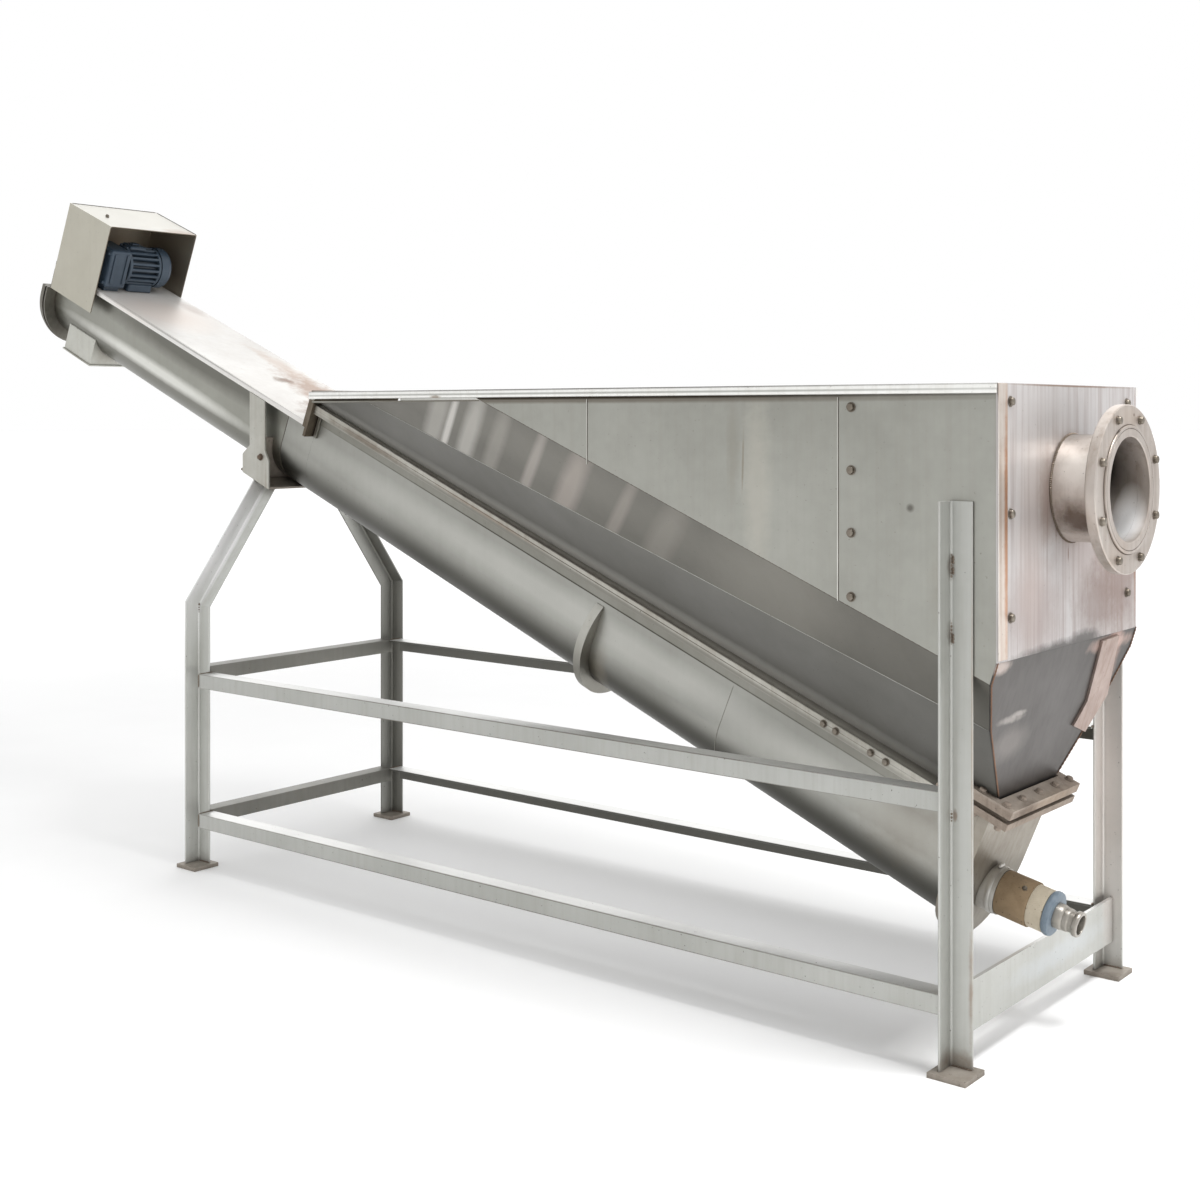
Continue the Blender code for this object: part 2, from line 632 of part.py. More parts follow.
def make_saddle():
    """The seat under the upper trough: a base with an upright cradle, and a strap each side."""
    start, end = SADDLE_RANGE
    edge, top, low = SADDLE_HALF_WIDTH, SADDLE_BOTTOM + SADDLE_PLATE, SADDLE_BOTTOM
    base = box("saddle", (start, -edge, low), (end, edge, top), GRIMY, slope)
    hug = u_line(TROUGH_RADIUS + GAP, 0.0)[1:-1]
    outline = [(edge, 0.0), (edge, low + 0.002), (-edge, low + 0.002), (-edge, 0.0)] + hug[::-1]
    join(base, as_mesh(across_trough("cradle", [outline], -0.815, -0.807, GRIMY)))

    lip = 0.0947
    left, right = LEFT_LEG_X - 0.041, LEFT_LEG_X + 0.026
    flare_left, flare_right = LEFT_LEG_X - 0.073, LEFT_LEG_X + 0.043

    def height_at(x, height):
        """The Z of the line along the trough at a height square to it, above an X."""
        start_point = on_trough(0, 0, height)
        return start_point.z - math.tan(SLOPE) * (x - start_point.x)

    outline = [(left, height_at(left, lip)), (left, 1.165), (flare_left, 1.140),
               (flare_left, height_at(flare_left, low)), (flare_right, height_at(flare_right, low)),
               (flare_right, 1.120), (right, 1.150), (right, height_at(right, lip))]
    for label, side in (("front", -1), ("back", 1)):
        plate(f"saddle_strap_{label}", [outline], ANGLE_WALL,
              (0, side * (SADDLE_HALF_WIDTH + GAP + ANGLE_WALL / 2), 0), ALONG_X_Z, STAINLESS)


# Drive

def make_hood():
    """The folded sheet hood over the drive, open towards the tank, its back standing on the cover."""
    outer, inner, under = HOOD_HALF_WIDTH, HOOD_HALF_WIDTH - SHEET, HOOD_TOP - SHEET
    outline = [(outer, HOOD_SKIRT), (outer, HOOD_TOP), (-outer, HOOD_TOP), (-outer, HOOD_SKIRT),
               (-inner, HOOD_SKIRT), (-inner, under), (inner, under), (inner, HOOD_SKIRT)]
    hood = as_mesh(across_trough("drive_hood", [outline], HOOD_BACK, HOOD_FRONT, STAINLESS))
    lap = SHEET / 2
    back = box("hood_back", (HOOD_BACK + 0.001, -inner - lap, COVER_TOP + GAP),
               (HOOD_BACK + 0.001 + SHEET, inner + lap, under + lap), STAINLESS, slope)
    join(hood, back)


def make_drive():
    """The geared motor on the cover: gearbox, footed body and fan cowl on one cross axis."""
    along, height = MOTOR_AT
    seat = COVER_TOP + GAP
    case = 0.062
    gearbox = box("gearbox", (along - case, -0.140, height - case), (along + case, -0.066, height + case),
                  ENAMEL, slope)
    round_off = gearbox.modifiers.new("round", "BEVEL")
    round_off.width = 0.008
    round_off.segments = 2
    join(gearbox, box("gearbox_foot", (along - 0.045, -0.130, seat), (along + 0.045, -0.076, height - 0.050),
                      ENAMEL, slope))
    spin_axis = (-math.pi / 2, 0, 0)
    radius = MOTOR_RADIUS
    body = [(0, 0.058), (radius, 0.058), (radius, -0.0657), (0, -0.0657)]
    motor = turned("motor", body, (along, 0, height), spin_axis, ENAMEL, slope)
    join(motor, box("motor_foot", (along - 0.045, -0.040, seat), (along + 0.045, 0.050, height - 0.030),
                    ENAMEL, slope))
    cowl = [(0, 0.100), (radius - 0.012, 0.100), (radius - 0.003, 0.096), (radius + 0.002, 0.086),
            (radius + 0.002, 0.058 + GAP), (0, 0.058 + GAP)]
    turned("fan_cowl", cowl, (along, 0, height), spin_axis, ENAMEL, slope)


# Drain

def make_drain():
    """The drain out of the low end: a clamp, a fabric sleeve, a ring and a grooved nozzle, all bored."""
    turn = (0, math.pi / 2 + DRAIN_FALL, 0)
    bore = 0.020
    clamp = turned("drain_clamp", ring(0.050, bore, -0.035, 0.008), DRAIN_START, turn, CLAMP)
    end_plate = plane(-DOWN, on_trough(TROUGH_LOWER_END + 0.044 + 2 * GAP, 0, 0))
    cut(clamp, beyond("end_plate_line", end_plate))
    for name, radius, low, high, material in (("drain_sleeve", 0.0485, 0.008, 0.112, HOSE),
                                              ("drain_ring", 0.0470, 0.112, 0.128, BLUE_RING)):
        turned(name, ring(radius, bore, low + GAP, high), DRAIN_START, turn, material)
    nozzle = [(0.0265, 0.181), (0.0265, 0.169), (0.0240, 0.167), (0.0240, 0.160), (0.0265, 0.158),
              (0.0265, 0.128 + GAP), (bore, 0.128 + GAP), (bore, 0.181)]
    turned("drain_nozzle", nozzle, DRAIN_START, turn, BARE_STEEL)


make_trough()
make_trough_ring()
make_end_plates()
make_cover()
make_chute()
make_screw()
make_tank_side("front", -1)
make_tank_side("back", 1)
make_tank_end()
make_bolted_flange()
make_inlet()
make_corner_bracket()
make_legs()
make_rails()
make_saddle()
make_hood()
make_drive()
make_drain()
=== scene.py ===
"""Visual model of an inclined screw conveyor with a wedge-shaped settling tank.

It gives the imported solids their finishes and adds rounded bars, bolts, welds, laps and machined details.
Metres, Z up. Places on the tank are given from its inlet wall, places on the trough by on_trough.
"""

import math

import bmesh
import bpy
import numpy as np
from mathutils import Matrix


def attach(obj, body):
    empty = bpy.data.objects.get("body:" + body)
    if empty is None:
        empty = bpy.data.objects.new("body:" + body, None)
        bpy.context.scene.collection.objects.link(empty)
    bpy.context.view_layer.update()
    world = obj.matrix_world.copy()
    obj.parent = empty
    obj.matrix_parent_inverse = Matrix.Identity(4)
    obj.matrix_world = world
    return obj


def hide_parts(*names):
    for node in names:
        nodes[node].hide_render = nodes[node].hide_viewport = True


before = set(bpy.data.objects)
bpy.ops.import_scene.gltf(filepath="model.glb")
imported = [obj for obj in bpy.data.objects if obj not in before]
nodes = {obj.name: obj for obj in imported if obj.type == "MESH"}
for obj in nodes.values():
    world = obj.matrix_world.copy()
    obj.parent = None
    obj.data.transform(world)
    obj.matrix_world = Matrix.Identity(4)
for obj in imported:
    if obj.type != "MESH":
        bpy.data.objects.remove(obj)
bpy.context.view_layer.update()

scene = bpy.context.scene


# Camera. It stands level at chest height off the inlet end and looks back along the machine,
# with the frame shifted down, so that upright edges stay upright.

INLET_WALL = 1.7121


def from_inlet(x, y, z):
    """A place given by its distance past the inlet wall."""
    return INLET_WALL + x, y, z


eye = bpy.data.cameras.new("eye")
eye.sensor_width = 36
eye.lens = 49.4
eye.shift_y = -0.1545
camera = bpy.data.objects.new("eye", eye)
camera.location = from_inlet(1.3653, -3.2169, 1.253)
camera.rotation_euler = (math.radians(90), 0, math.radians(39))
scene.collection.objects.link(camera)
scene.camera = camera


# Studio. A white seamless floor in an even, soft light. The walls of the studio are pale grey at eye level,
# brighter higher up and brightest behind the drive end, so that sheets lying near level read almost white.
# Straight overhead the light wanes, and the camera itself sees plain white.

def linear(code):
    """Turns an sRGB hex code into a linear colour with alpha."""
    values = np.array([int(code[i:i + 2], 16) for i in (1, 3, 5)]) / 255
    curved = np.where(values <= 0.04045, values / 12.92, ((values + 0.055) / 1.055) ** 2.4)
    return (*curved.tolist(), 1.0)


def add(tree, kind, settings=None, links=None):
    """Adds a node, gives its properties and inputs their values, and links sockets to its inputs."""
    node = tree.nodes.new(kind)
    for key, value in (settings or {}).items():
        if isinstance(key, str) and hasattr(node, key):
            setattr(node, key, value)
        else:
            node.inputs[key].default_value = value
    for key, socket in (links or {}).items():
        tree.links.new(socket, node.inputs[key])
    return node


def surface(name, grid, material, wrap=True, sharp=35, stage=False):
    """A mesh over a grid of points (rows, columns), or over several such grids at once.

    Each cell becomes a quad, the last column joins the first where the shape wraps round, and points that
    coincide become one, so a row drawn together to a point closes an end.
    """
    grid = np.asarray(grid, dtype=float)
    if grid.ndim == 3:
        grid = grid[None]
    count, rows, columns = grid.shape[:3]
    index = np.arange(count * rows * columns).reshape(count, rows, columns)
    if wrap:
        index = np.concatenate((index, index[:, :, :1]), axis=2)
    quads = np.stack((index[:, :-1, :-1], index[:, :-1, 1:], index[:, 1:, 1:], index[:, 1:, :-1]), axis=-1)
    mesh = bpy.data.meshes.new(name)
    mesh.from_pydata(grid.reshape(-1, 3).tolist(), [], quads.reshape(-1, 4).tolist())
    body = bmesh.new()
    body.from_mesh(mesh)
    bmesh.ops.remove_doubles(body, verts=body.verts, dist=0.000002)
    bmesh.ops.recalc_face_normals(body, faces=body.faces)
    body.to_mesh(mesh)
    body.free()
    mesh.shade_smooth()
    mesh.set_sharp_from_angle(angle=math.radians(sharp))
    mesh.materials.append(material)
    piece = bpy.data.objects.new(name, mesh)
    scene.collection.objects.link(piece)
    if stage:
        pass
    else:
        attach(piece, "root")
    return piece


def blank(name):
    """A new material, with its node tree, its Principled shader and each point's place on the object."""
    made = bpy.data.materials.new(name)
    made.use_nodes = True
    tree = made.node_tree
    return made, tree, tree.nodes["Principled BSDF"], add(tree, "ShaderNodeTexCoord").outputs["Object"]


studio = bpy.data.worlds.new("studio")
studio.use_nodes = True
scene.world = studio
sky = studio.node_tree
sky.nodes.clear()
gaze = add(sky, "ShaderNodeTexCoord").outputs["Generated"]
toward = add(sky, "ShaderNodeSeparateXYZ", {}, {0: gaze})
rising = add(sky, "ShaderNodeMapRange",
             {"interpolation_type": "SMOOTHSTEP", "From Min": -0.02, "From Max": 0.45, "To Min": 0.70,
              "To Max": 1.02}, {"Value": toward.outputs["Z"]})
waning = add(sky, "ShaderNodeMapRange",
             {"interpolation_type": "SMOOTHSTEP", "From Min": 0.55, "From Max": 1.0, "To Min": 1.0,
              "To Max": 0.62}, {"Value": toward.outputs["Z"]})
height = add(sky, "ShaderNodeMath", {"operation": "MULTIPLY"}, {0: rising.outputs[0], 1: waning.outputs[0]})
drive_way = add(sky, "ShaderNodeVectorMath", {"operation": "DOT_PRODUCT", 1: (-0.68, 0.66, 0.32)}, {0: gaze})
behind_drive = add(sky, "ShaderNodeMapRange",
                   {"interpolation_type": "SMOOTHSTEP", "From Min": 0.35, "From Max": 0.95, "To Min": 0.0,
                    "To Max": 0.70}, {"Value": drive_way.outputs["Value"]})
evenness = add(sky, "ShaderNodeMath", {"operation": "ADD"},
               {0: height.outputs[0], 1: behind_drive.outputs[0]})
soft_light = add(sky, "ShaderNodeBackground", {"Color": linear("#ffffff")}, {"Strength": evenness.outputs[0]})
backdrop = add(sky, "ShaderNodeBackground", {"Color": linear("#ffffff"), "Strength": 1.0})
behind = add(sky, "ShaderNodeLightPath")
either = add(sky, "ShaderNodeMixShader", {}, {0: behind.outputs["Is Camera Ray"], 1: soft_light.outputs[0],
                                              2: backdrop.outputs[0]})
add(sky, "ShaderNodeOutputWorld", {}, {"Surface": either.outputs[0]})

scene.view_settings.view_transform = "Standard"

# Two soft boxes model the forms: a strong one high over the inlet end, which gives the floor's shadow, and a
# weak, wide one farther off, which lights the inlet wall.
for name, place, aim, size, power in (("soft_box_top", (2.55, -0.1, 4.3), (0.2, 0.0, 0.3), 1.2, 180),
                                      ("soft_box_inlet", (5.0, 0.8, 2.6), (1.4, 0.0, 0.9), 2.4, 55)):
    lamp = bpy.data.lights.new(name, "AREA")
    lamp.shape = "SQUARE"
    lamp.size = size
    lamp.energy = power
    stand = bpy.data.objects.new(name, lamp)
    stand.location = place
    aimed = np.array(aim) - np.array(place)
    aimed = aimed / np.linalg.norm(aimed)
    stand.rotation_euler = (math.acos(-aimed[2]), 0, math.atan2(aimed[0], -aimed[1]))
    scene.collection.objects.link(stand)

# The floor is matt white vinyl; its mottling is 0.4 m wide, as in rolled sheet. Far off it is lit from below
# the sweep, so that floor and backdrop run together.
vinyl, tree, shader, place = blank("matt_vinyl")
mottle = add(tree, "ShaderNodeTexNoise", {"Scale": 2.5, "Detail": 3.0}, {"Vector": place})
pale = add(tree, "ShaderNodeMix", {"data_type": "RGBA", 6: linear("#f5f5f5"), 7: linear("#f9f9f9")},
           {0: mottle.outputs[0]})
tree.links.new(pale.outputs[2], shader.inputs["Base Color"])
shader.inputs["Roughness"].default_value = 0.85
shader.inputs["Specular IOR Level"].default_value = 0.2
far = add(tree, "ShaderNodeVectorMath", {"operation": "LENGTH"}, {0: place})
glow = add(tree, "ShaderNodeMapRange",
           {"interpolation_type": "SMOOTHSTEP", "From Min": 2.6, "From Max": 7.0, "To Max": 0.16},
           {"Value": far.outputs["Value"]})
shader.inputs["Emission Color"].default_value = linear("#ffffff")
tree.links.new(glow.outputs[0], shader.inputs["Emission Strength"])
turn = np.linspace(0, 2 * math.pi, 96, endpoint=False)
reach = np.array([0.0, 4.0, 12.0, 40.0, 120.0])[:, None]
floor = np.stack((reach * np.cos(turn), reach * np.sin(turn), np.zeros((5, 96))), axis=-1)
surface("floor", floor, vinyl, stage=True)


# Tank. Side walls, folded hopper panels and deck plates are 3 mm stainless sheet, mill-finished and
# weathered: a satin grey with cloudy oxide, faint runs down the sheet and small dark pits.

SLOPE = math.radians(22.5)
AXIS_X, AXIS_Z = INLET_WALL - 1.6, 0.878
TANK_SIDE = 0.345


def on_trough(along, across, height):
    """Places by distance down the slope, distance to the back and height square to the trough's axis."""
    x = AXIS_X + along * math.cos(SLOPE) + height * math.sin(SLOPE)
    z = AXIS_Z - along * math.sin(SLOPE) + height * math.cos(SLOPE)
    x, y, z = np.broadcast_arrays(x, across, z)
    return np.stack((x, y, z), axis=-1)


def weathered(name, light, dark, run, roughness=0.42, runs=0.35, pits=0.5, grime=0.5,
              grain=(14, 14, 600), patches=(), metallic=1.0, crust=0.0, grime_colour="#4a3f36", reach=0.03,
              tints=(), inward=None, spread=0.14):
    """Weathered metal. Its colour goes from light to dark with 0.4 m clouds and 25 mm mottling. Runs are
    noise drawn out down the sheet, pits are the peaks of a 6 mm noise, and grime with painted shade fills
    inner corners, where ambient occlusion finds them. A patch is an ellipsoid (centre, radii, colour, amount,
    tilt, raggedness): it shows where the distance from its centre, in radii and stirred by a 30 mm noise, is
    under one.
    A tint (direction, colour, amount, start, full) grows as the surface turns that way, from the start to the
    full cosine, and paints light and shade by facing. Inward (colour, amount) paints shade on what faces the
    middle plane of the machine. Grain is the scale of the fine rolling marks along each axis, and crust
    raises the 30 mm noise into lumps.
    """
    made, tree, shader, place = blank(name)
    shader.inputs["Metallic"].default_value = metallic

    clouds = add(tree, "ShaderNodeTexNoise", {"Scale": 2.6, "Detail": 5.0, "Roughness": 0.62},
                 {"Vector": place})
    mottle = add(tree, "ShaderNodeTexNoise", {"Scale": 40.0, "Detail": 3.0}, {"Vector": place})
    both = add(tree, "ShaderNodeMath", {"operation": "MULTIPLY_ADD", 1: spread * 2},
               {0: mottle.outputs[0], 2: clouds.outputs[0]})
    tone = add(tree, "ShaderNodeMapRange", {"From Min": 0.30 + spread, "From Max": 0.70 + spread},
               {"Value": both.outputs[0]})
    colour = add(tree, "ShaderNodeMix", {"data_type": "RGBA", 6: linear(light), 7: linear(dark)},
                 {0: tone.outputs[0]}).outputs[2]

    fall = add(tree, "ShaderNodeMapping", {"Scale": (70, 70, 2.2)}, {"Vector": place})
    streaks = add(tree, "ShaderNodeTexNoise", {"Scale": 1.0, "Detail": 4.0, "Roughness": 0.6},
                  {"Vector": fall.outputs[0]})
    streak = add(tree, "ShaderNodeMapRange", {"From Min": 0.46, "From Max": 0.74, "To Max": runs},
                 {"Value": streaks.outputs[0]})
    layers = [(run, streak)]

    facing = add(tree, "ShaderNodeNewGeometry").outputs["Normal"]
    for direction, tint, amount, start, full in tints:
        turned_to = add(tree, "ShaderNodeVectorMath", {"operation": "DOT_PRODUCT", 1: direction}, {0: facing})
        mask = add(tree, "ShaderNodeMapRange",
                   {"interpolation_type": "SMOOTHSTEP", "From Min": start, "From Max": full,
                    "To Max": amount}, {"Value": turned_to.outputs["Value"]})
        layers.append((tint, mask))
    # Painted shade on the faces turned towards the machine's middle plane.
    if inward:
        side = add(tree, "ShaderNodeVectorMath", {"operation": "SIGN"}, {0: place})
        outward = add(tree, "ShaderNodeVectorMath", {"operation": "MULTIPLY"},
                      {0: facing, 1: side.outputs[0]})
        shade = add(tree, "ShaderNodeMapRange", {"From Min": -0.35, "From Max": -0.75, "To Max": inward[1]},
                    {"Value": add(tree, "ShaderNodeSeparateXYZ", {}, {0: outward.outputs[0]}).outputs["Y"]})
        layers.append((inward[0], shade))

    stir = add(tree, "ShaderNodeTexNoise", {"Scale": 33.0, "Detail": 6.0, "Roughness": 0.7},
               {"Vector": place})
    for centre, radii, tint, amount, tilt, ragged in patches:
        inside = add(tree, "ShaderNodeMapping", {"vector_type": "TEXTURE", "Location": tuple(centre),
                                                 "Rotation": (0, tilt, 0), "Scale": tuple(radii)},
                     {"Vector": place})
        away = add(tree, "ShaderNodeVectorMath", {"operation": "LENGTH"}, {0: inside.outputs[0]})
        edge = add(tree, "ShaderNodeMath", {"operation": "MULTIPLY_ADD", 1: ragged},
                   {0: stir.outputs[0], 2: away.outputs["Value"]})
        mask = add(tree, "ShaderNodeMapRange", {"From Min": 1.0 + ragged / 2, "From Max": 0.35 + ragged / 2,
                                                "To Max": amount}, {"Value": edge.outputs[0]})
        layers.append((tint, mask))

    specks = add(tree, "ShaderNodeTexNoise", {"Scale": 160.0, "Detail": 2.0}, {"Vector": place})
    speck = add(tree, "ShaderNodeMapRange", {"From Min": 0.72, "From Max": 0.78, "To Max": pits},
                {"Value": specks.outputs[0]})
    # Grime and painted shade where ambient occlusion finds inner corners.
    nook = add(tree, "ShaderNodeAmbientOcclusion", {"samples": 6, "Distance": reach})
    dirt = add(tree, "ShaderNodeMapRange", {"From Min": 0.85, "From Max": 0.25, "To Max": grime},
               {"Value": nook.outputs["AO"]})
    layers += [("#3d3029", speck), (grime_colour, dirt)]
    for tint, mask in layers:
        colour = add(tree, "ShaderNodeMix", {"data_type": "RGBA", 7: linear(tint)},
                     {0: mask.outputs[0], 6: colour}).outputs[2]
    tree.links.new(colour, shader.inputs["Base Color"])

    gloss = add(tree, "ShaderNodeMapRange", {"From Min": 0.3, "From Max": 0.7, "To Min": roughness - 0.05,
                                             "To Max": roughness + 0.07}, {"Value": clouds.outputs[0]})
    tree.links.new(gloss.outputs[0], shader.inputs["Roughness"])
    drawn = add(tree, "ShaderNodeMapping", {"Scale": grain}, {"Vector": place})
    scratches = add(tree, "ShaderNodeTexNoise", {"Scale": 1.0, "Detail": 2.0}, {"Vector": drawn.outputs[0]})
    relief = add(tree, "ShaderNodeBump", {"Strength": 0.10, "Distance": 0.0004},
                 {"Height": scratches.outputs[0]})
    if crust:
        relief = add(tree, "ShaderNodeBump", {"Strength": crust, "Distance": 0.005},
                     {"Height": stir.outputs[0], "Normal": relief.outputs[0]})
    tree.links.new(relief.outputs[0], shader.inputs["Normal"])
    return made


def dress(material, *names):
    """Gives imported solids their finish."""
    for name in names:
        for slot in nodes[name].material_slots:
            slot.material = material


# The walls are cold-rolled stainless sheet left outdoors: an even satin grey, with a pale wash mark where the
# inlet splashed, a few brown specks, and a painted shadow under the rim.
wall_marks = [
    (from_inlet(-0.54, -0.345, 1.10), (0.045, 0.05, 0.24), "#c9c5ba", 0.35, 0, 0.9),
    (from_inlet(-0.60, -0.345, 1.18), (0.020, 0.05, 0.13), "#8d887c", 0.30, 0, 0.9),
    (from_inlet(-0.575, -0.345, 1.15), (0.0035, 0.02, 0.075), "#8a8173", 0.60, 0.03, 1.2),
    (from_inlet(-0.183, -0.345, 1.071), (0.010, 0.02, 0.010), "#5c5852", 0.75, 0, 0.4),
    (from_inlet(-0.305, -0.345, 0.805), (0.004, 0.02, 0.018), "#5a544b", 0.9, 0, 0.4),
    (from_inlet(-0.10, -0.345, 0.93), (0.05, 0.02, 0.10), "#928777", 0.25, 0, 0.9),
    # Painted shadow under the rim: a brown band and a dark line.
    (from_inlet(-1.00, -0.345, 1.286), (1.30, 0.02, 0.009), "#5b4f40", 0.60, 0, 0.3),
    (from_inlet(-1.00, -0.345, 1.2925), (1.30, 0.02, 0.0062), "#2e271f", 0.95, 0, 0.1),
]
tank_sheet = weathered("weathered_stainless_sheet", "#aeaea7", "#9c9c95", "#969288", patches=wall_marks,
                       runs=0.18, pits=0.35, grime=0.35, spread=0.08)
dress(tank_sheet, "tank_wall_front", "tank_wall_back", "deck_plate_front", "deck_plate_back")

# The folded panels below the walls are smoother from the press brake, and soft painted reflections lie across
# them. These lean the way the sheet was rolled, and the sheet is darker towards the trough.
light_pools = ((-1.56, 1.235, 0.040, "#c9c6c0", 0.50), (-1.52, 1.215, 0.014, "#f0ede8", 0.60),
               (-1.45, 1.19, 0.034, "#d9d6d0", 0.50), (-1.36, 1.16, 0.030, "#bbb7b0", 0.40),
               (-1.245, 1.11, 0.020, "#c9c1bb", 0.50), (-1.13, 1.06, 0.042, "#c2b8b1", 0.55),
               (-0.985, 1.00, 0.022, "#b9b1aa", 0.45), (-0.86, 0.95, 0.045, "#b1aca4", 0.35),
               (-0.55, 0.85, 0.200, "#a5a29a", 0.40))
bands = [(from_inlet(x, -0.29, z), (width, 0.3, 0.32), tint, amount, 0.89, 0.15)
         for x, z, width, tint, amount in light_pools]
# The rim's painted shadow runs on over the upper panel.
bands.append((from_inlet(-1.70, -0.345, 1.2925), (0.70, 0.03, 0.0062), "#2e271f", 0.95, 0, 0.1))
bands.insert(0, (on_trough(0.0, -0.30, 0.42), (1.7, 0.3, 0.075), "#8f8d86", 0.45, SLOPE, 0.2))
panel_sheet = weathered("brake_folded_stainless", "#817f79", "#75736d", "#706c65", patches=bands,
                        roughness=0.36, runs=0.10, pits=0.25, grime=0.25, spread=0.06)
dress(panel_sheet, "upper_panel_front", "upper_panel_back")

# Below the fold the same sheet is dulled by spray and silt, so it mirrors little and reads as a flat dark
# grey, with a band of painted light just over the foot angle, where it lifts the shade of the corner.
low_marks = [
    # A band of painted light over the foot angle lifts the shade of the corner.
    (on_trough(0.45, -0.12, 0.160), (2.20, 0.12, 0.048), "#dcdad4", 0.60, SLOPE, 0.2),
    (on_trough(0.45, -0.28, 0.335), (1.40, 0.12, 0.045), "#7d7c76", 0.30, SLOPE, 0.2),
    (from_inlet(-0.756, -0.2, 0.93), (0.006, 0.2, 0.006), "#2e2a26", 0.9, 0, 0.2),
]
lower_sheet = weathered("brake_folded_stainless_low", "#757470", "#686762", "#625e57", patches=low_marks,
                        roughness=0.42, runs=0.08, pits=0.45, grime=0.0, spread=0.06, metallic=0.35)
dress(lower_sheet, "lower_panel_front", "lower_panel_back")


# Laps and folds. The side wall is made of three sheets, the joints dressed flat, so each shows as a pale edge
# with a dark line of painted shadow beside it; dirt has settled in the upper fold, and the lower one is worn
# bright.

SIDES = (("front", -1), ("back", 1))
FOLD_HEIGHT, UPPER_LEAN = 0.482, 0.6128


def strip(name, x, y, z, material):
    """A flat raised strip with soft ends: six rings of a rectangle, drawn together at the first and last."""
    low, high = np.array([x[0], y[0], z[0]]), np.array([x[1], y[1], z[1]])
    soft = min(high - low) * 0.35
    wide = np.array([[0, 0], [1, 0], [1, 1], [0, 1]])
    middle = (low + high)[:2] / 2
    corners = low[:2] + wide * (high - low)[:2]
    eased = middle + (corners - middle) * (1 - 2 * soft / (high - low)[:2])
    point = np.broadcast_to(middle, (4, 2))
    plan = np.array([point, eased, corners, corners, eased, point])
    level = np.array([low[2], low[2], low[2] + soft, high[2] - soft, high[2], high[2]])
    rings = np.concatenate((plan, np.broadcast_to(level[:, None, None], (6, 4, 1))), axis=2)
    return surface(name, rings, material, sharp=60)


# A joint full of dried dirt is dull and brown-black, and the same dark serves as the painted shadow beside
# each lap; a cut edge, dressed with a file, is the palest metal.
dark_joint = weathered("dirt_filled_joint_and_shadow_line", "#6a6259", "#4f473f", "#453b32", roughness=0.6, runs=0.3,
                       pits=0.6, metallic=0.5)
pale_edge = weathered("dressed_sheet_edge", "#dedfd9", "#c4c4bd", "#a39d92", roughness=0.4, runs=0.3,
                      pits=0.5)
for label, side in SIDES:
    for name, x, low in (("bolted", -0.345, 0.879), ("welded", -0.998, 1.141)):
        # The shade strip is a painted shadow beside the lap's pale edge.
        for part, start, end, tint in (("edge", -0.0018, 0.0002, pale_edge),
                                       ("shade", 0.0003, 0.0014, dark_joint)):
            thin = sorted((side * (TANK_SIDE + 0.0001), side * (TANK_SIDE + 0.0007)))
            line = strip(f"{name}_lap_{part}_{label}", (INLET_WALL + x + start, INLET_WALL + x + end), thin,
                         (low, 1.2880), tint)


def tube(name, paths, radius, material, sides=10):
    """Round beads along paths of points (paths, rows, 3). Each ring stands square to its path's direction,
    found from neighbouring rows, and its radius is given for each row.
    """
    paths = np.asarray(paths, dtype=float)
    run = np.gradient(paths, axis=1)
    run /= np.linalg.norm(run, axis=2, keepdims=True)
    first = np.cross(run, (0.13, 0.41, 0.90))
    first /= np.linalg.norm(first, axis=2, keepdims=True)
    second = np.cross(run, first)
    angle = np.linspace(0, 2 * math.pi, sides, endpoint=False)[:, None]
    radius = np.broadcast_to(radius, paths.shape[:2])[..., None, None]
    around = np.cos(angle) * first[:, :, None] + np.sin(angle) * second[:, :, None]
    return surface(name, paths[:, :, None] + radius * around, material)


def closing(count, power):
    """Steps from 0 to 1 along a bead, and its width at each: the square root of one less a high even power of
    the distance from the middle, so it is full along the bead and closes at both ends.
    """
    share = np.linspace(0, 1, count)
    return share, np.sqrt(np.clip(1 - (2 * share - 1) ** power, 0, 1))


share, closed_ends = closing(401, 40)
uneven = 1 + 0.3 * np.sin(share * 700) * np.sin(share * 83 + 1)
for label, side in SIDES:
    fold = on_trough(0.097 + share * 1.418, side * (TANK_SIDE - 0.0002), FOLD_HEIGHT + 0.0002)
    bead = tube(f"fold_line_{label}", fold[None], 0.0007 * closed_ends * uneven, dark_joint, 6)
    # The lower fold climbs towards the drive, because the panels' foot widens there from 102 to 128 mm. It is
    # where the lower panel, leaning 40 degrees from 165 mm over the axis, meets the upper, leaning 31.5.
    along = -0.385 + share * 1.910
    foot = 0.1276 - 0.0256 * (along + 0.65) / 2.238
    level = (0.18808 - foot) / 0.2263
    low_fold = on_trough(along, side * (TANK_SIDE + 0.0003 - (FOLD_HEIGHT - level) * UPPER_LEAN), level)
    ridge = tube(f"low_fold_line_{label}", low_fold[None], 0.0006 * closed_ends, pale_edge, 6)


# Rim. Each long edge of the tank carries a rounded stainless bar, rolled smooth and brighter than the sheet;
# it turns in at the rear corner and is welded to the plate at the tail.

def mitred(points, side):
    """Outward vectors along a path in plan: each is the mean of its two runs' normals over its own square."""
    points = np.asarray(points)
    run = np.diff(points, axis=0)
    out = np.stack((run[:, 1], -run[:, 0]), axis=-1) / np.linalg.norm(run, axis=1)[:, None]
    out = out * -side * np.sign(run[0, 0])
    both = np.vstack((out[:1], out)) + np.vstack((out, out[-1:]))
    return 2 * both / (both ** 2).sum(axis=1)[:, None]
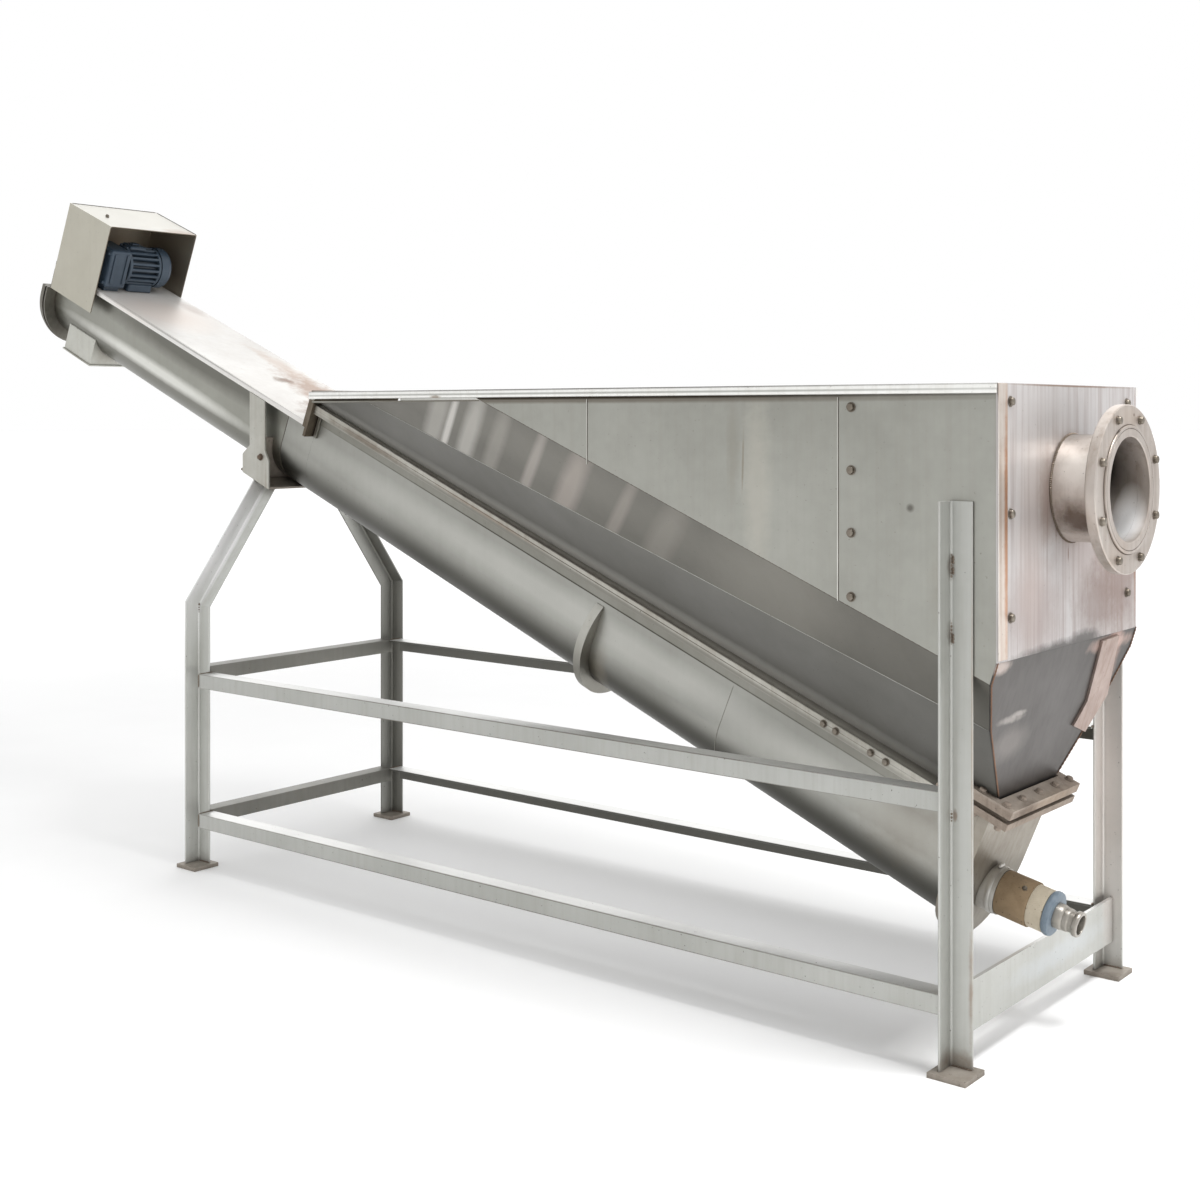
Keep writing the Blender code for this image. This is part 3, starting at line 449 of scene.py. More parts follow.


# Rolled bright bar: nearly white on its crown, partly as painted sheen, with a dull band down its side, a
# dark line along its top and painted shade along its foot.
rim_marks = [
    (from_inlet(-1.05, -0.353, 1.3136), (1.80, 0.02, 0.0050), "#3a3530", 1.0, 0, 0.1),
    (from_inlet(-1.05, -0.353, 1.3020), (1.80, 0.02, 0.0034), "#9c9c97", 0.75, 0, 0.2),
    # Painted shade along the bar's foot.
    (from_inlet(-1.05, -0.353, 1.2925), (1.80, 0.02, 0.0030), "#3a332b", 0.85, 0, 0.2),
    (from_inlet(-1.47, -0.353, 1.296), (0.02, 0.03, 0.005), "#7c6a56", 0.7, 0, 1.0),
]
rim_steel = weathered("rolled_bright_stainless", "#fbfbf8", "#f0f0ec", "#b9b0a0", roughness=0.36, runs=0.2,
                      pits=0.6, patches=rim_marks, metallic=0.55, grime=0.25)
# The bar's section is a rounded rectangle, 7.6 mm wide and 19.6 mm high: cosine and sine to the power 0.45.
RIM_SIDE, RIM_Z, RIM_WIDE, RIM_HIGH = 0.3493, 1.303, 0.0038, 0.0098
bend = np.linspace(0, 2 * math.pi, 40, endpoint=False)
bulge = np.sign(np.cos(bend)) * np.abs(np.cos(bend)) ** 0.45
crown = np.sign(np.sin(bend)) * np.abs(np.sin(bend)) ** 0.45
for label, side in SIDES:
    path = np.array([(INLET_WALL - 0.0005, side * RIM_SIDE), (INLET_WALL - 1.93 - 0.0018, side * RIM_SIDE),
                     (INLET_WALL - 2.1275, side * 0.1665)])
    outward = mitred(path, side)
    ring = path[:, None] + outward[:, None] * (bulge * RIM_WIDE)[None, :, None]
    rise = np.broadcast_to(RIM_Z + crown * RIM_HIGH, ring.shape[:2])
    bar = np.concatenate((ring, rise[..., None]), axis=-1)
    caps = bar[[0, -1]].mean(axis=1, keepdims=True)
    bar = np.concatenate((np.broadcast_to(caps[:1], (1, 40, 3)), bar, np.broadcast_to(caps[1:], (1, 40, 3))))
    rim = surface(f"rounded_rim_{label}", bar, rim_steel)
    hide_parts(f"rim_{label}")


# Bolts. Domed hexagon bolts of stainless, each on a washer, with dirt and painted shade round them. They hold
# the wall's lap and the inlet wall's edge.

# Turned stainless that has gone dull, with a brown ring of dirt and painted shade in every corner round it.
bolt_steel = weathered("dull_bolt_stainless", "#979086", "#756d62", "#5b5146", roughness=0.45, runs=0.3,
                       pits=0.7, grime=0.90, reach=0.014)


def bolts(name, places, normal, flats, head, washer, material, seed=1):
    """Hexagon bolts on washers. Round the axis the head's radius is half the flats over the cosine of the
    angle from the nearest flat's middle; up the axis it steps from washer to head and closes in a low dome.
    """
    normal = np.asarray(normal, dtype=float)
    normal = normal / np.linalg.norm(normal)
    first = np.cross(normal, (0.31, 0.22, 0.92))
    first = first / np.linalg.norm(first)
    second = np.cross(normal, first)
    angle = np.linspace(0, 2 * math.pi, 30, endpoint=False)
    hexagon = flats / 2 / np.cos((angle + math.pi / 6) % (math.pi / 3) - math.pi / 6)
    round_off = np.ones_like(angle) * flats / 2
    thick = 0.0016
    rows = [(round_off * 0, 0), (washer / 2 + angle * 0, 0), (washer / 2 + angle * 0, thick * 0.7),
            (washer / 2 - 0.0006 + angle * 0, thick), (hexagon, thick), (hexagon, thick + head * 0.62),
            (round_off * 0.95, thick + head * 0.82), (round_off * 0.6, thick + head * 0.97),
            (round_off * 0, thick + head)]
    radius = np.array([row[0] for row in rows])
    height = np.array([row[1] for row in rows])
    phase = np.random.default_rng(seed).uniform(0, 2 * math.pi, len(places))[:, None, None]
    ring = radius[None, :, :, None] * (np.cos(angle + phase)[..., None] * first
                                       + np.sin(angle + phase)[..., None] * second)
    grid = np.asarray(places)[:, None, None, :] + ring + (height[:, None, None] * normal)[None]
    made = surface(name, grid, material)
    return made


for label, side in SIDES:
    lap = np.array([from_inlet(-0.315, side * (TANK_SIDE + 0.0001), z) for z in (1.268, 1.142, 1.017, 0.889)])
    bolts(f"lap_bolts_{label}", lap, (0, side, 0), 0.0145, 0.0065, 0.020, bolt_steel, 3)
edge_places = [from_inlet(0.0003, side * 0.290, z) for side in (-1, 1) for z in (1.278, 1.064, 0.866)]
bolts("end_wall_bolts", edge_places, (1, 0, 0), 0.0150, 0.0070, 0.021, bolt_steel, 5)


# Inlet end. The wall round the inlet is thicker sheet, pickled but never polished: a pinkish-white bloom of
# oxide with brown runs. Below a ragged water line it has been wet, so it is darker and smoother.

end_marks = [
    (from_inlet(0, 0.10, 0.98), (0.03, 0.20, 0.16), "#b3a19b", 0.45, 0, 0.6),
    (from_inlet(0, -0.18, 0.87), (0.03, 0.18, 0.12), "#a39490", 0.60, 0, 0.6),
    (from_inlet(0, 0.25, 0.94), (0.03, 0.16, 0.24), "#8d7870", 0.75, 0, 0.7),
    (from_inlet(0, 0.13, 0.86), (0.03, 0.15, 0.10), "#8a7770", 0.60, 0, 0.7),
    (from_inlet(0, -0.20, 1.00), (0.03, 0.08, 0.22), "#c3b3ac", 0.35, 0, 0.7),
    (from_inlet(0, -0.14, 1.10), (0.03, 0.04, 0.13), "#a99a92", 0.35, 0, 0.6),
    (from_inlet(0, -0.118, 1.09), (0.03, 0.045, 0.11), "#957d72", 0.55, 0, 0.8),
    (from_inlet(0, -0.12, 1.27), (0.03, 0.16, 0.05), "#c6c2c0", 0.50, 0, 0.6),
    (from_inlet(0, -0.02, 0.97), (0.03, 0.003, 0.020), "#7c5f4e", 0.8, 0, 0.6),
    (from_inlet(0, -0.08, 1.02), (0.03, 0.003, 0.030), "#8b7464", 0.7, 0, 0.6),
    (from_inlet(0, 0.08, 0.90), (0.03, 0.002, 0.035), "#8b7464", 0.7, 0, 0.6),
    (from_inlet(0, -0.06, 0.782), (0.03, 0.26, 0.022), "#6a6765", 0.95, 0, 0.9),
    (from_inlet(0, 0.06, 0.790), (0.03, 0.10, 0.024), "#6a6765", 0.90, 0, 0.9),
    (from_inlet(0, -0.304, 1.05), (0.03, 0.003, 0.27), "#a8653f", 0.85, 0, 0.7),
    (from_inlet(0, 0.338, 1.05), (0.03, 0.008, 0.3), "#9b7157", 0.7, 0, 0.9),
    (from_inlet(0, 0.0, 1.311), (0.03, 0.35, 0.003), "#8a6f5c", 0.8, 0, 0.6),
]
# Pickled plate has a dry, pinkish-white bloom; its grain stands upright, as the sheet was turned to fit.
bloomed = weathered("pickled_stainless_bloom", "#d0cdcc", "#c3bfbe", "#8d7a73", roughness=0.48, runs=0.60,
                    metallic=0.6, pits=0.5, patches=end_marks, grain=(600, 600, 10), spread=0.08, grime=0.45,
                    grime_colour="#7d5f4d")
# Under the water line the same plate is stained almost black-brown and shines where silt has polished it.
wet_marks = [
    (from_inlet(-0.04, -0.20, 0.655), (0.2, 0.07, 0.010), "#a39d98", 0.70, 0, 1.4),
    (from_inlet(-0.04, -0.17, 0.663), (0.2, 0.04, 0.008), "#aba5a0", 0.70, 0, 1.4),
    (from_inlet(-0.05, -0.17, 0.60), (0.2, 0.10, 0.045), "#8b8580", 0.45, 0, 0.6),
    (from_inlet(-0.05, 0.24, 0.72), (0.2, 0.06, 0.16), "#b8968a", 0.60, 0, 0.9),
    (from_inlet(-0.02, 0.22, 0.765), (0.1, 0.15, 0.022), "#c4a89d", 0.75, 0, 0.9),
    (from_inlet(-0.02, -0.32, 0.775), (0.1, 0.05, 0.018), "#cbbcb4", 0.70, 0, 0.9),
]
wetted = weathered("wetted_stainless", "#595553", "#4e4b48", "#433f3c", roughness=0.40, runs=0.55,
                   metallic=0.7, pits=0.3, patches=wet_marks, grain=(600, 600, 10), spread=0.06, grime=0.3)
dress(bloomed, "tank_end_wall")
dress(wetted, "tank_end_slope")
# The bracket is mild steel plate that rusts thinly all over, so it is pink-brown and quite rough.
bracket_steel = weathered("rusted_bracket", "#c2b3ac", "#a6958d", "#8d7569", roughness=0.55, runs=0.5,
                          pits=0.7, grime=0.4)
dress(bracket_steel, "corner_bracket")

# The front edge is doubled with a flat strip; the back of it has bled orange rust, and the slope's edge has a
# brown weld along it.
strip_marks = [(from_inlet(0, -0.311, 1.05), (0.03, 0.012, 0.32), "#b5835f", 0.85, 0, 0.9),
               (from_inlet(0, -0.3445, 1.05), (0.03, 0.0025, 0.30), "#f4f1ec", 0.90, 0, 0.4),
               (from_inlet(0, -0.336, 1.02), (0.03, 0.006, 0.26), "#a58c7a", 0.45, 0, 0.9)]
edge_steel = weathered("edge_strip_stainless", "#ded7d0", "#c8bdb3", "#b28d74", roughness=0.45, runs=0.6,
                       pits=0.6, patches=strip_marks)
doubler = strip("end_wall_edge", (INLET_WALL + 0.0003, INLET_WALL + 0.0020), (-0.3448, -0.3060),
                (0.789, 1.3125), edge_steel)
rusty_joint = weathered("rusty_edge_weld", "#8f6f5a", "#6f5240", "#5b3f2f", roughness=0.6, runs=0.3, pits=0.8,
                        metallic=0.4)
# The weld follows the slope's corners: its height above the trough gives the tank's half width, by way of the
# two folds, down to the top of the bolted flange.
END_LEAN, KINK_Z, FLANGE_TOP = 0.315, 0.785, 0.212
corner_heights = np.linspace(0.787, 0.4, 161)
for label, side in SIDES:
    lean_x = INLET_WALL - END_LEAN * (KINK_Z - corner_heights)
    level = (lean_x - AXIS_X) * math.sin(SLOPE) + (corner_heights - AXIS_Z) * math.cos(SLOPE)
    half = np.interp(level, (0.165, 0.377, FOLD_HEIGHT), (0.103, 0.2805, TANK_SIDE))
    edge = np.stack((lean_x + 0.0008, side * (half - 0.001), corner_heights), axis=-1)[level > FLANGE_TOP]
    ends = closing(len(edge), 30)[1]
    wobble = 1 + 0.35 * np.sin(np.arange(len(edge)) * 2.1)
    seam = tube(f"slope_edge_weld_{label}", edge[None], 0.0015 * ends * wobble, rusty_joint, 8)


# Inlet. A rolled pipe stub is welded through the wall and carries a turned flange with a raised face, a fine
# groove round the bore and eight bolts. The bore is worn smooth, with painted shade deep inside and painted
# light low down near its mouth.

# Turned stainless, warm grey, brown where drips run, with painted shade deep in the bore and painted light
# on its lower back near the mouth.
inlet_marks = [
    (from_inlet(0.05, -0.10, 1.04), (0.07, 0.05, 0.06), "#4f3f34", 0.85, 0, 0.8),
    (from_inlet(0.05, -0.10, 1.14), (0.06, 0.05, 0.06), "#efe9e2", 0.75, 0, 0.6),
    (from_inlet(0.12, -0.06, 0.98), (0.03, 0.07, 0.05), "#b4a394", 0.35, 0, 1.0),
    (from_inlet(0.12, 0.0, 1.25), (0.03, 0.12, 0.03), "#bfae9e", 0.35, 0, 1.0),
    # Painted shade deep in the bore, then painted light on its lower back.
    (from_inlet(0.005, 0.085, 1.150), (0.110, 0.155, 0.150), "#1f1b18", 1.0, 0, 0.1),
    (from_inlet(0.083, 0.075, 1.03), (0.040, 0.100, 0.090), "#ffffff", 0.95, 0, 0.1),
    (from_inlet(0.1185, 0.027, 1.2525), (0.01, 0.0045, 0.0045), "#5f4f42", 0.95, 0, 0.2),
]
flange_steel = weathered("turned_inlet_stainless", "#c2bab3", "#afa69f", "#8c7b6b", roughness=0.40, runs=0.45,
                         pits=0.7, patches=inlet_marks, reach=0.010, metallic=0.75, grime=0.6,
                         grime_colour="#7a6552")


def turned(name, profile, origin, axis, material, steps=144, ripple=None, close=False):
    """A profile of (radius, height) spun round an axis; ripple adds its own height to the radius, given the
    rows' heights and the angles. A closed profile is a ring, otherwise its two ends lie on the axis.
    """
    profile = np.asarray(profile, dtype=float)
    axis = np.asarray(axis, dtype=float) / np.linalg.norm(axis)
    first = np.cross((0.0, 1.0, 0.0), axis)
    if np.linalg.norm(first) < 0.1:
        first = np.array((1.0, 0.0, 0.0))
    first = first / np.linalg.norm(first)
    second = np.cross(axis, first)
    angle = np.linspace(0, 2 * math.pi, steps, endpoint=False)
    if close:
        profile = np.vstack((profile, profile[:1]))
    radius = np.broadcast_to(profile[:, :1], (len(profile), steps)).copy()
    if ripple is not None:
        radius += np.where(radius > 0, ripple(profile[:, 1:], angle[None]), 0)
    grid = (np.asarray(origin) + radius[..., None] * (np.cos(angle)[None, :, None] * first
            + np.sin(angle)[None, :, None] * second) + profile[:, 1][:, None, None] * axis)
    return surface(name, grid, material)


INLET_Z, BORE, PIPE, BOLT_CIRCLE = 1.1035, 0.1055, 0.1095, 0.1495
FLANGE_BACK, FLANGE_RIM = 0.096, 0.1700
centre = from_inlet(0, 0, INLET_Z)
face = [(BORE, 0.1205), (0.1072, 0.122), (0.1212, 0.122), (0.1220, 0.1207), (0.1228, 0.122), (0.1277, 0.122),
        (0.1285, 0.1215), (0.1290, 0.1182), (0.1680, 0.118), (FLANGE_RIM, 0.1160), (FLANGE_RIM, 0.0980),
        (0.1685, FLANGE_BACK), (0.1100, FLANGE_BACK), (BORE, FLANGE_BACK)]
flange = turned("turned_inlet_flange", face[::-1], centre, (1, 0, 0), flange_steel, close=True)
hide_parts("inlet_flange")
# Dirt lies as a thin bead in the groove round the bore and in the step of the raised face.
groove_dirt = [(-0.0007, -0.0002), (-0.0007, 0.0002), (0.0, 0.0006), (0.0007, 0.0002), (0.0007, -0.0002),
               (0.0, -0.0004)]
for label, radius, seat in (("face", 0.1220, 0.1214), ("step", 0.1297, 0.1184)):
    line = turned(f"inlet_groove_dirt_{label}", [(radius + a, seat + b) for a, b in groove_dirt], centre,
                  (1, 0, 0), dark_joint, close=True)
pipe = turned("rolled_inlet_pipe", [(BORE, -0.02), (BORE, 0.0957), (PIPE, 0.0957), (PIPE, -0.02)], centre,
              (1, 0, 0), flange_steel, close=True)
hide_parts("inlet_pipe")
around = np.radians(np.arange(8) * 45 + 22.5)
seats = np.stack((np.full(8, INLET_WALL + 0.1182), BOLT_CIRCLE * np.cos(around),
                  INLET_Z + BOLT_CIRCLE * np.sin(around)), axis=-1)
bolts("inlet_bolts", seats, (1, 0, 0), 0.0150, 0.0075, 0.0185, bolt_steel, 7)


# Trough. Rolled from 4 mm stainless plate into a U and left mill-finished, with one soft highlight along its
# length, partly painted. A taller side plate laps over the rolled part of the lower length and leaves a dark
# line.

ROLLED, LINING = 0.125, 0.121

# Rolled plate is a cool satin grey drawn out along its length, with a painted highlight along its flat side
# and painted shade where it turns to the floor.
trough_marks = [
    (on_trough(1.38, -0.10, 0.05), (0.16, 0.09, 0.12), "#7b7265", 0.40, SLOPE, 0.9),
    (on_trough(0.50, -0.10, -0.06), (0.04, 0.09, 0.09), "#8d8577", 0.40, SLOPE, 0.9),
    # Painted highlight along the flat side.
    (on_trough(0.40, -0.12, 0.045), (1.4, 0.05, 0.050), "#dcdcd6", 0.35, SLOPE, 0.2),
]
# The downward tint is painted shade.
trough_steel = weathered("rolled_stainless_plate", "#bcbcb6", "#acaca6", "#a19c91", roughness=0.40, runs=0.10,
                         pits=0.35, patches=trough_marks, grain=(10, 400, 400),
                         tints=[((0, 0, -1), "#4b4a44", 0.95, -0.25, 0.55)], grime=0.3, spread=0.06)
# The upper length is cleaner and mirrors more; its painted highlight is sharper, the side above it has
# painted shade, and painted shade darkens it where it turns to the floor.
upper_marks = [(on_trough(-1.2, -0.125, 0.075), (0.80, 0.02, 0.050), "#6d6c65", 0.80, SLOPE, 0.2),
               (on_trough(-1.40, -0.115, -0.026), (0.60, 0.05, 0.028), "#f2f2ec", 0.65, SLOPE, 0.2)]
upper_steel = weathered("rolled_upper_plate", "#b4b4ac", "#a3a39b", "#958f83", roughness=0.36, runs=0.10,
                        pits=0.35, patches=upper_marks, grain=(10, 400, 400),
                        tints=[((0, 0, -1), "#605f57", 0.80, -0.25, 0.55)], grime=0.3, spread=0.06)


def u_shell(name, outer, inner, start, end, material):
    """A bent band: at each station across, a rectangle between its outer and inner point and its two ends."""
    loop = [on_trough(place, line[:, 0], line[:, 1]) for place, line in
            ((start, outer), (end, outer), (end, inner), (start, inner))]
    grid = np.stack(loop, axis=1)
    ends = [np.broadcast_to(grid[i].mean(axis=0), (1, 4, 3)) for i in (0, -1)]
    return surface(name, np.concatenate((ends[0], grid, ends[1])), material)


def u_line(radius, top, steps=64, first=0.0, last=math.pi):
    """Half a circle under the axis, with straight sides up to a height where it reaches the sides."""
    angle = np.linspace(first, last, steps + 1)
    line = np.stack((radius * np.cos(angle), -radius * np.sin(angle)), axis=-1)
    if first == 0:
        line = np.vstack(((radius, top), line))
    if last == math.pi:
        line = np.vstack((line, (-radius, top)))
    return line


def sloped_block(name, low, high, material, soft=0.003):
    """A block square to the trough, its edges eased: six rings, drawn together at both ends."""
    low, high = np.asarray(low, dtype=float), np.asarray(high, dtype=float)
    turn = np.linspace(0, 2 * math.pi, 48, endpoint=False) + math.pi / 48
    east = np.sign(np.cos(turn)) * np.abs(np.cos(turn)) ** 0.12
    north = np.sign(np.sin(turn)) * np.abs(np.sin(turn)) ** 0.12
    middle, half = (low + high) / 2, (high - low) / 2
    inset = np.array([0, soft, 0, 0, soft, 0])[:, None]
    scale = np.array([0, 1, 1, 1, 1, 0])[:, None]
    level = np.array([low[2], low[2], low[2] + soft, high[2] - soft, high[2], high[2]])[:, None]
    rings = on_trough(middle[0] + scale * east * (half[0] - inset),
                      middle[1] + scale * north * (half[1] - inset), np.broadcast_to(level, (6, 48)))
    return surface(name, rings, material)


for name, top, start, end in (("rolled_lower_trough", 0.1596, -0.6497, 1.42),
                              ("rolled_trough_end", 0.1646, 1.42, 1.50)):
    shell = u_shell(name, u_line(ROLLED, top), u_line(LINING, top), start, end, trough_steel)
    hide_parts("trough_lower")
# Over the chute the plate is cut away 98 mm to each side of the middle.
open_at = math.acos(0.098 / ROLLED)
for name, start, end, first, last, steel in (
        ("rolled_upper_trough", -1.764, -0.77, 0.0, math.pi, upper_steel),
        ("rolled_trough_neck", -0.77, -0.65, 0.0, math.pi, trough_steel),
        ("rolled_trough_head", -2.0, -1.903, 0.0, math.pi, upper_steel),
        ("trough_beside_outlet_back", -1.903, -1.764, 0.0, open_at, upper_steel),
        ("trough_beside_outlet_front", -1.903, -1.764, math.pi - open_at, math.pi, upper_steel)):
    outer, inner = (u_line(radius, 0.1067, 64, first, last) for radius in (ROLLED, LINING))
    shell = u_shell(name, outer, inner, start, end, steel)
    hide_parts("trough_upper")

# The side plate has dulled to a darker, browner grey, with painted shadow along its foot and under the foot
# angle.
side_marks = [(on_trough(0.4, -0.127, 0.112), (1.1, 0.02, 0.003), "#3f3b35", 0.85, SLOPE, 0.3),
              (on_trough(0.4, -0.127, 0.155), (1.1, 0.02, 0.006), "#5d574e", 0.60, SLOPE, 0.5)]
side_steel = weathered("lapped_side_plate", "#9a9992", "#88877f", "#7d786c", roughness=0.42, runs=0.15,
                       pits=0.4, patches=side_marks, grain=(10, 400, 400), grime=0.3, spread=0.06)
for label, side in SIDES:
    low_y, high_y = sorted((side * 0.1252, side * 0.1268))
    plate = sloped_block(f"trough_side_plate_{label}", (-0.634, low_y, 0.1105), (1.400, high_y, 0.1585),
                         side_steel, 0.0003)
    low_y, high_y = sorted((side * 0.1252, side * 0.1320))
    stop = sloped_block(f"side_plate_end_{label}", (-0.646, low_y, 0.070), (-0.635, high_y, 0.150),
                        side_steel, 0.001)

# Girth welds join the rolled lengths: each bead runs down one side, round under the trough and up the other.
share, closed_ends = closing(241, 40)
lift = 0.105 * (2 * np.abs(share - 0.5) - 0.6) / 0.4 * (np.abs(share - 0.5) > 0.3)
round_under = np.clip((share - 0.2) / 0.6, 0, 1) * math.pi
weld_at = ROLLED + 0.0001
for name, place, tint in (("low", 0.878, side_steel), ("head", -0.770, dark_joint)):
    girth = on_trough(place, weld_at * np.cos(round_under), lift - weld_at * np.sin(round_under))
    bead = tube(f"trough_girth_weld_{name}", girth[None], 0.0009 * closed_ends, tint, 8)

# The stiffening ring is a flat ring cut with a torch and ground smooth; its round edge runs out at the sides.
# Its inner edge keeps 0.3 mm from the trough: upright beside the straight sides, and round below the axis.
RING, RING_BORE = 0.158, ROLLED + 0.0003
reach_up = math.radians(36.6)
sweep = np.linspace(-reach_up, math.pi + reach_up, 121)
outer = np.stack((RING * np.cos(sweep), 0.005 - RING * np.sin(sweep)), axis=-1)
beside = RING_BORE * np.sign(np.cos(sweep)) * np.minimum(1, np.abs(outer[:, 0]) / RING_BORE)
inner = np.stack((beside, outer[:, 1]), axis=-1)
low_part = outer[:, 1] < 0
spin = np.arctan2(-outer[low_part, 1], outer[low_part, 0])
inner[low_part] = RING_BORE * np.stack((np.cos(spin), -np.sin(spin)), axis=-1)
# The ring's downward faces carry painted shade.
ring_steel = weathered("cut_ring_stainless", "#c4c3bc", "#aeada5", "#948d80", roughness=0.42, runs=0.2,
                       pits=0.4, tints=[((0, 0, -1), "#6d6a62", 0.70, -0.25, 0.55)], grime=0.35)
stiffener = u_shell("cut_trough_ring", outer, inner, 0.449, 0.472, ring_steel)
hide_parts("trough_ring")

# The angle at the tank's foot is bent strip, bright along its lower lip, with painted light on the faces that
# turn up, and brown where water stands on it.
foot_marks = [(on_trough(0.4, -0.150, 0.1440), (1.45, 0.02, 0.0080), "#8a8881", 0.90, SLOPE, 0.2),
              (on_trough(0.4, -0.150, 0.1535), (1.30, 0.02, 0.0016), "#3f382f", 0.80, SLOPE, 0.6),
              (on_trough(0.4, -0.149, 0.1645), (1.30, 0.02, 0.0022), "#4f463b", 0.70, SLOPE, 0.8),
              (on_trough(-0.40, -0.150, 0.150), (0.20, 0.02, 0.010), "#6d5c4c", 0.55, SLOPE, 1.0),
              (on_trough(0.05, -0.150, 0.152), (0.25, 0.02, 0.006), "#8a7766", 0.45, SLOPE, 1.0)]
# Its upward tint is painted light.
foot_steel = weathered("stained_foot_angle", "#c6c4bc", "#adaaa1", "#857867", roughness=0.5, runs=0.3,
                       pits=0.8, grain=(10, 400, 400), patches=foot_marks, grime=0.5,
                       tints=[((0.38, 0, 0.92), "#e4e2dc", 0.90, 0.6, 0.9)])
dress(foot_steel, "tank_foot_angle_front", "tank_foot_angle_back")
for label, side in SIDES:
    spots = on_trough(np.array([1.131, 1.164, 1.256, 1.295]), side * 0.1503, 0.152 + np.zeros(4))
    bolts(f"foot_angle_bolts_{label}", spots, (0, side, 0), 0.0120, 0.006, 0.017, bolt_steel, 11)

# The pair of plates where the cover meets the tank is brown with silt that the wind and rain leave there.
grimy_plate = weathered("grimy_tail_plate", "#8d8578", "#6c6357", "#574b3f", roughness=0.5, runs=0.4,
                        pits=0.8, grime=0.7)
dress(grimy_plate, "tail_plate", "cover_end_flange")


# Screw. The flight is 5 mm strip wound on edge round a tube and welded to it, scoured bright along its edge
# by grit and stained brown near the tube.

FLIGHT_START, FLIGHT_TOTAL, PITCH, FLIGHTS = -1.62, 3.08, 0.2, ("head", "middle", "tail")
FLIGHT_ROOT, FLIGHT_EDGE, FLIGHT_HALF = 0.0308, 0.1050, 0.0024


def helicoid(name, start, end, material):
    """The flight: its height above the axis and its place across follow sine and cosine of the angle, which
    turns once in 200 mm of length. Four columns give the two faces, 2.4 mm to each side of the middle one.
    """
    along = np.linspace(start, end, round((end - start) / PITCH * 72))[:, None]
    angle = 2 * math.pi * (along - FLIGHT_START) / PITCH
    radius = np.array([FLIGHT_ROOT, FLIGHT_EDGE, FLIGHT_EDGE, FLIGHT_ROOT])[None]
    shift = np.array([-FLIGHT_HALF, -FLIGHT_HALF, FLIGHT_HALF, FLIGHT_HALF])[None]
    grid = on_trough(along + shift, radius * np.cos(angle), radius * np.sin(angle))
    caps = [np.broadcast_to(grid[i].mean(axis=0), (1, 4, 3)) for i in (0, -1)]
    return surface(name, np.concatenate((caps[0], grid, caps[1])), material, sharp=50)


screw_marks = [(on_trough(0.0, 0, 0), (2.2, 0.075, 0.075), "#6f5d4b", 0.65, SLOPE, 0.8)]
scoured = weathered("scoured_flight_steel", "#a49c92", "#7d7469", "#67574a", roughness=0.4, runs=0.3,
                    pits=0.6, patches=screw_marks)
length = FLIGHT_TOTAL / len(FLIGHTS)
for i, label in enumerate(FLIGHTS):
    start = FLIGHT_START + i * length
    flight = helicoid(f"wound_flight_{label}", start + 0.003, start + length - 0.0032, scoured)
    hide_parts(f"screw_flight_{label}")
dress(scoured, "screw_shaft")


# Low end. Two bolted plates close the trough; above them lie the tank's flange, a squeezed gasket and the
# trough's flange, all rough with brown-grey crust, with nuts showing at the corner.

# The end plates are stainless with brown tide marks; the flanges are plain steel under a lumpy crust of silt.
end_plate_steel = weathered("stained_end_plate", "#a9a399", "#8c857a", "#776b5c", roughness=0.42, runs=0.4,
                            pits=0.6)
dress(end_plate_steel, "lower_end_plate", "lower_end_flange")
crust_marks = [(on_trough(1.50, -0.05, 0.21), (0.20, 0.20, 0.008), "#c4b9ad", 0.65, SLOPE, 1.1),
               (on_trough(1.585, 0.03, 0.20), (0.02, 0.15, 0.020), "#a6937f", 0.50, SLOPE, 1.2),
               (on_trough(1.59, -0.09, 0.195), (0.02, 0.06, 0.030), "#5b4b3d", 0.55, SLOPE, 1.2)]
crusted = weathered("crusted_flange_steel", "#b3a598", "#8b7e72", "#6b5b50", roughness=0.72, runs=0.4,
                    pits=0.9, crust=1.0, metallic=0.4, reach=0.012, patches=crust_marks, grime=0.7)
dress(crusted, "tank_bottom_flange", "trough_top_flange")
# Black rubber sheet, squeezed out and dusted brown, with hardly any shine.
squeezed, tree, shader, place = blank("squeezed_rubber")
dust = add(tree, "ShaderNodeTexNoise", {"Scale": 70.0, "Detail": 5.0}, {"Vector": place})
dusty = add(tree, "ShaderNodeMix", {"data_type": "RGBA", 6: linear("#2b2724"), 7: linear("#7a6d60")},
            {0: dust.outputs[0]})
tree.links.new(dusty.outputs[2], shader.inputs["Base Color"])
shader.inputs["Roughness"].default_value = 0.85
dress(squeezed, "flange_gasket")
# Three bolts hold each side of the flange and three its far end, with nuts under it, through 45.6 mm.
up_square = np.array((math.sin(SLOPE), 0, math.cos(SLOPE)))
down_flange = np.array([1.45, 1.51, 1.567, 1.45, 1.51, 1.567, 1.567, 1.567, 1.567])
over_flange = np.array([-0.152, -0.152, -0.152, 0.152, 0.152, 0.152, -0.08, 0.0, 0.08])
spots = on_trough(down_flange, over_flange, 0.2103)
bolts("flange_bolts", spots, up_square, 0.014, 0.006, 0.020, crusted, 13)
bolts("flange_nuts", spots - 0.0456 * up_square, -up_square, 0.014, 0.010, 0.020, crusted, 17)


# Top end plate. The head of the trough is closed by two bolted flanges with a packing between them, turned at
# the rim, so the edge shows three ridges; old grease has darkened it.

